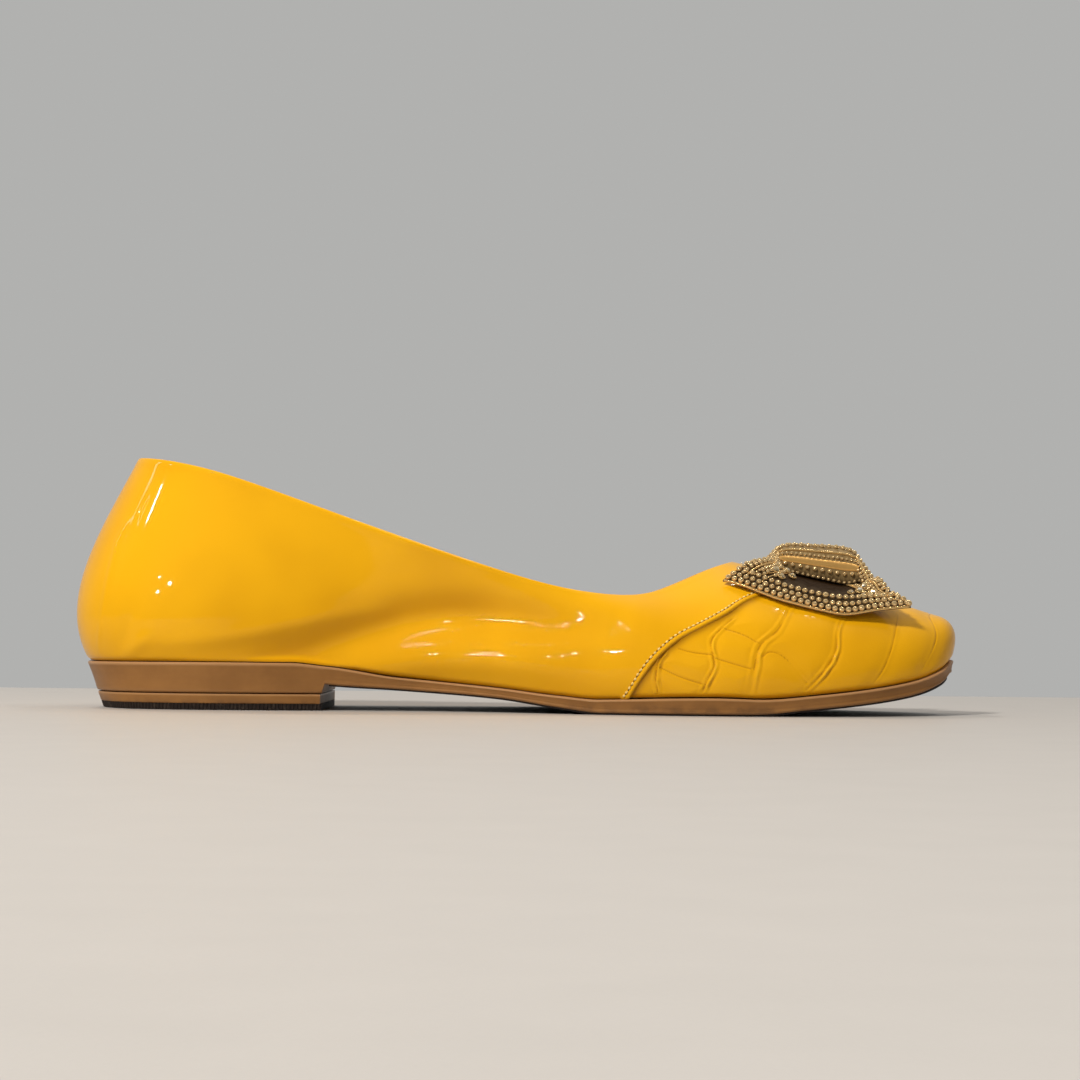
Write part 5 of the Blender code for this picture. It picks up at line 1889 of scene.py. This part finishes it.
LAMPS = (
    Lamp("key", (-0.45, -0.85, 1.05), 0.24, 0.24, 14.5, (1.0, 0.97, 0.92), False),
    Lamp("fill", (0.35, -1.9, 0.75), 1.6, 1.0, 3.8, (1.0, 0.98, 0.95), False),
    Lamp("rear", (-0.35, 0.50, 1.10), 0.20, 0.20, 3.8, (1.0, 0.97, 0.93), False),
    Lamp("glint_0", (-0.435, -1.021, 0.445), 0.030, 0.030, 0.60),
    Lamp("glint_1", (-0.530, -0.960, 0.360), 0.030, 0.030, 0.50),
    Lamp("glint_2", (-0.889, -0.412, 0.783), 0.020, 0.020, 0.30),
    Lamp("glint_3", (-0.576, -0.966, 0.530), 0.016, 0.016, 0.20),
    Lamp("glint_4", (-1.006, -0.088, 0.741), 0.060, 0.280, 0.45),
    Lamp("glint_5", (0.350, 0.550, 1.100), 0.120, 0.120, 1.20),
    Lamp("glint_6", (0.600, 0.050, 1.200), 0.100, 0.100, 1.20),
    Lamp("glint_7", (-0.450, -0.850, 1.050), 0.080, 0.080, 2.20),
)


@dataclass
class Studio:
    """A plain floor, soft light and the camera at the photograph's angle."""

    eye: Triple = (0.0917, -0.800, 0.0252)
    pitch: float = 1.68
    roll: float = 0.54
    lens: float = 93.1
    middle: Triple = (0.08, 0.0, 0.03)
    floor_side: float = 1.6
    floor_front: float = -2.4
    floor_back: float = 0.20
    floor_drop: float = 0.03 * MM

    def build(self, shop: Workshop) -> None:
        """Build the floor, the lights and the camera."""
        self.build_floor(shop)
        for lamp in LAMPS:
            self.hang(lamp)
        self.build_room()
        self.build_camera()

    def build_floor(self, shop: Workshop) -> None:
        """Build a level floor under the sole that ends a little behind the shoe, as the shelf does."""
        mesh = bpy.data.meshes.new("floor")
        side, front, back, down = self.floor_side, self.floor_front, self.floor_back, -self.floor_drop
        corners = [(-side, front, down), (side, front, down), (side, back, down), (-side, back, down)]
        mesh.from_pydata(corners, [], [(0, 1, 2, 3)])
        mesh.materials.append(shop.finish(Paper()))
        floor = bpy.data.objects.new("floor", mesh)
        bpy.context.scene.collection.objects.link(floor)

    def hang(self, lamp: Lamp) -> None:
        """Add one lamp that faces the middle of the shoe."""
        light = bpy.data.lights.new(lamp.name, "AREA")
        light.shape = "RECTANGLE"
        light.size, light.size_y = lamp.width, lamp.height
        light.energy = lamp.power
        light.color = lamp.colour
        made = bpy.data.objects.new(lamp.name, light)
        made.location = lamp.place
        made.visible_glossy = lamp.glossy
        made.rotation_euler = (Vector(self.middle) - Vector(lamp.place)).to_track_quat("-Z", "Y").to_euler()
        bpy.context.scene.collection.objects.link(made)

    @staticmethod
    def build_room() -> None:
        """Surround the shoe with a grey room that is lighter behind it than before it."""
        net = Net(bpy.data.worlds.new("room"))
        direction = net.node("ShaderNodeTexCoord", out="Generated")
        upward = net.node("ShaderNodeVectorMath", {"operation": "DOT_PRODUCT"},
                          {0: direction, 1: (0.0, 0.95, 0.25)}, out="Value")
        grey = net.mix(upward.band(-0.25, 0.75), (0.10, 0.10, 0.098), (0.44, 0.44, 0.43))
        net.dress("Background", Color=grey)
        bpy.context.scene.world = net.owner

    def build_camera(self) -> None:
        """Place the camera, rolled as the photograph is."""
        camera = bpy.data.cameras.new("camera")
        camera.lens = self.lens
        camera.sensor_width = 36.0
        camera.clip_start, camera.clip_end = 0.02, 60.0
        made = bpy.data.objects.new("camera", camera)
        level = Euler((math.radians(90 + self.pitch), 0.0, 0.0)).to_matrix().to_4x4()
        roll = Matrix.Rotation(math.radians(self.roll), 4, "Z")
        made.matrix_world = Matrix.Translation(self.eye) @ level @ roll
        bpy.context.scene.collection.objects.link(made)
        bpy.context.scene.camera = made
        bpy.context.scene.view_settings.view_transform = "Standard"


def main() -> None:
    """Build the shoe piece by piece, then the studio."""
    logging.basicConfig(level=logging.INFO, format="%(name)s %(message)s")
    last = Last()
    shop = Workshop()
    Upper(last, shop).build()
    Sole(last, shop).build()
    Bow(last, shop).build()
    Studio().build(shop)


if __name__ == "__main__":
    main()
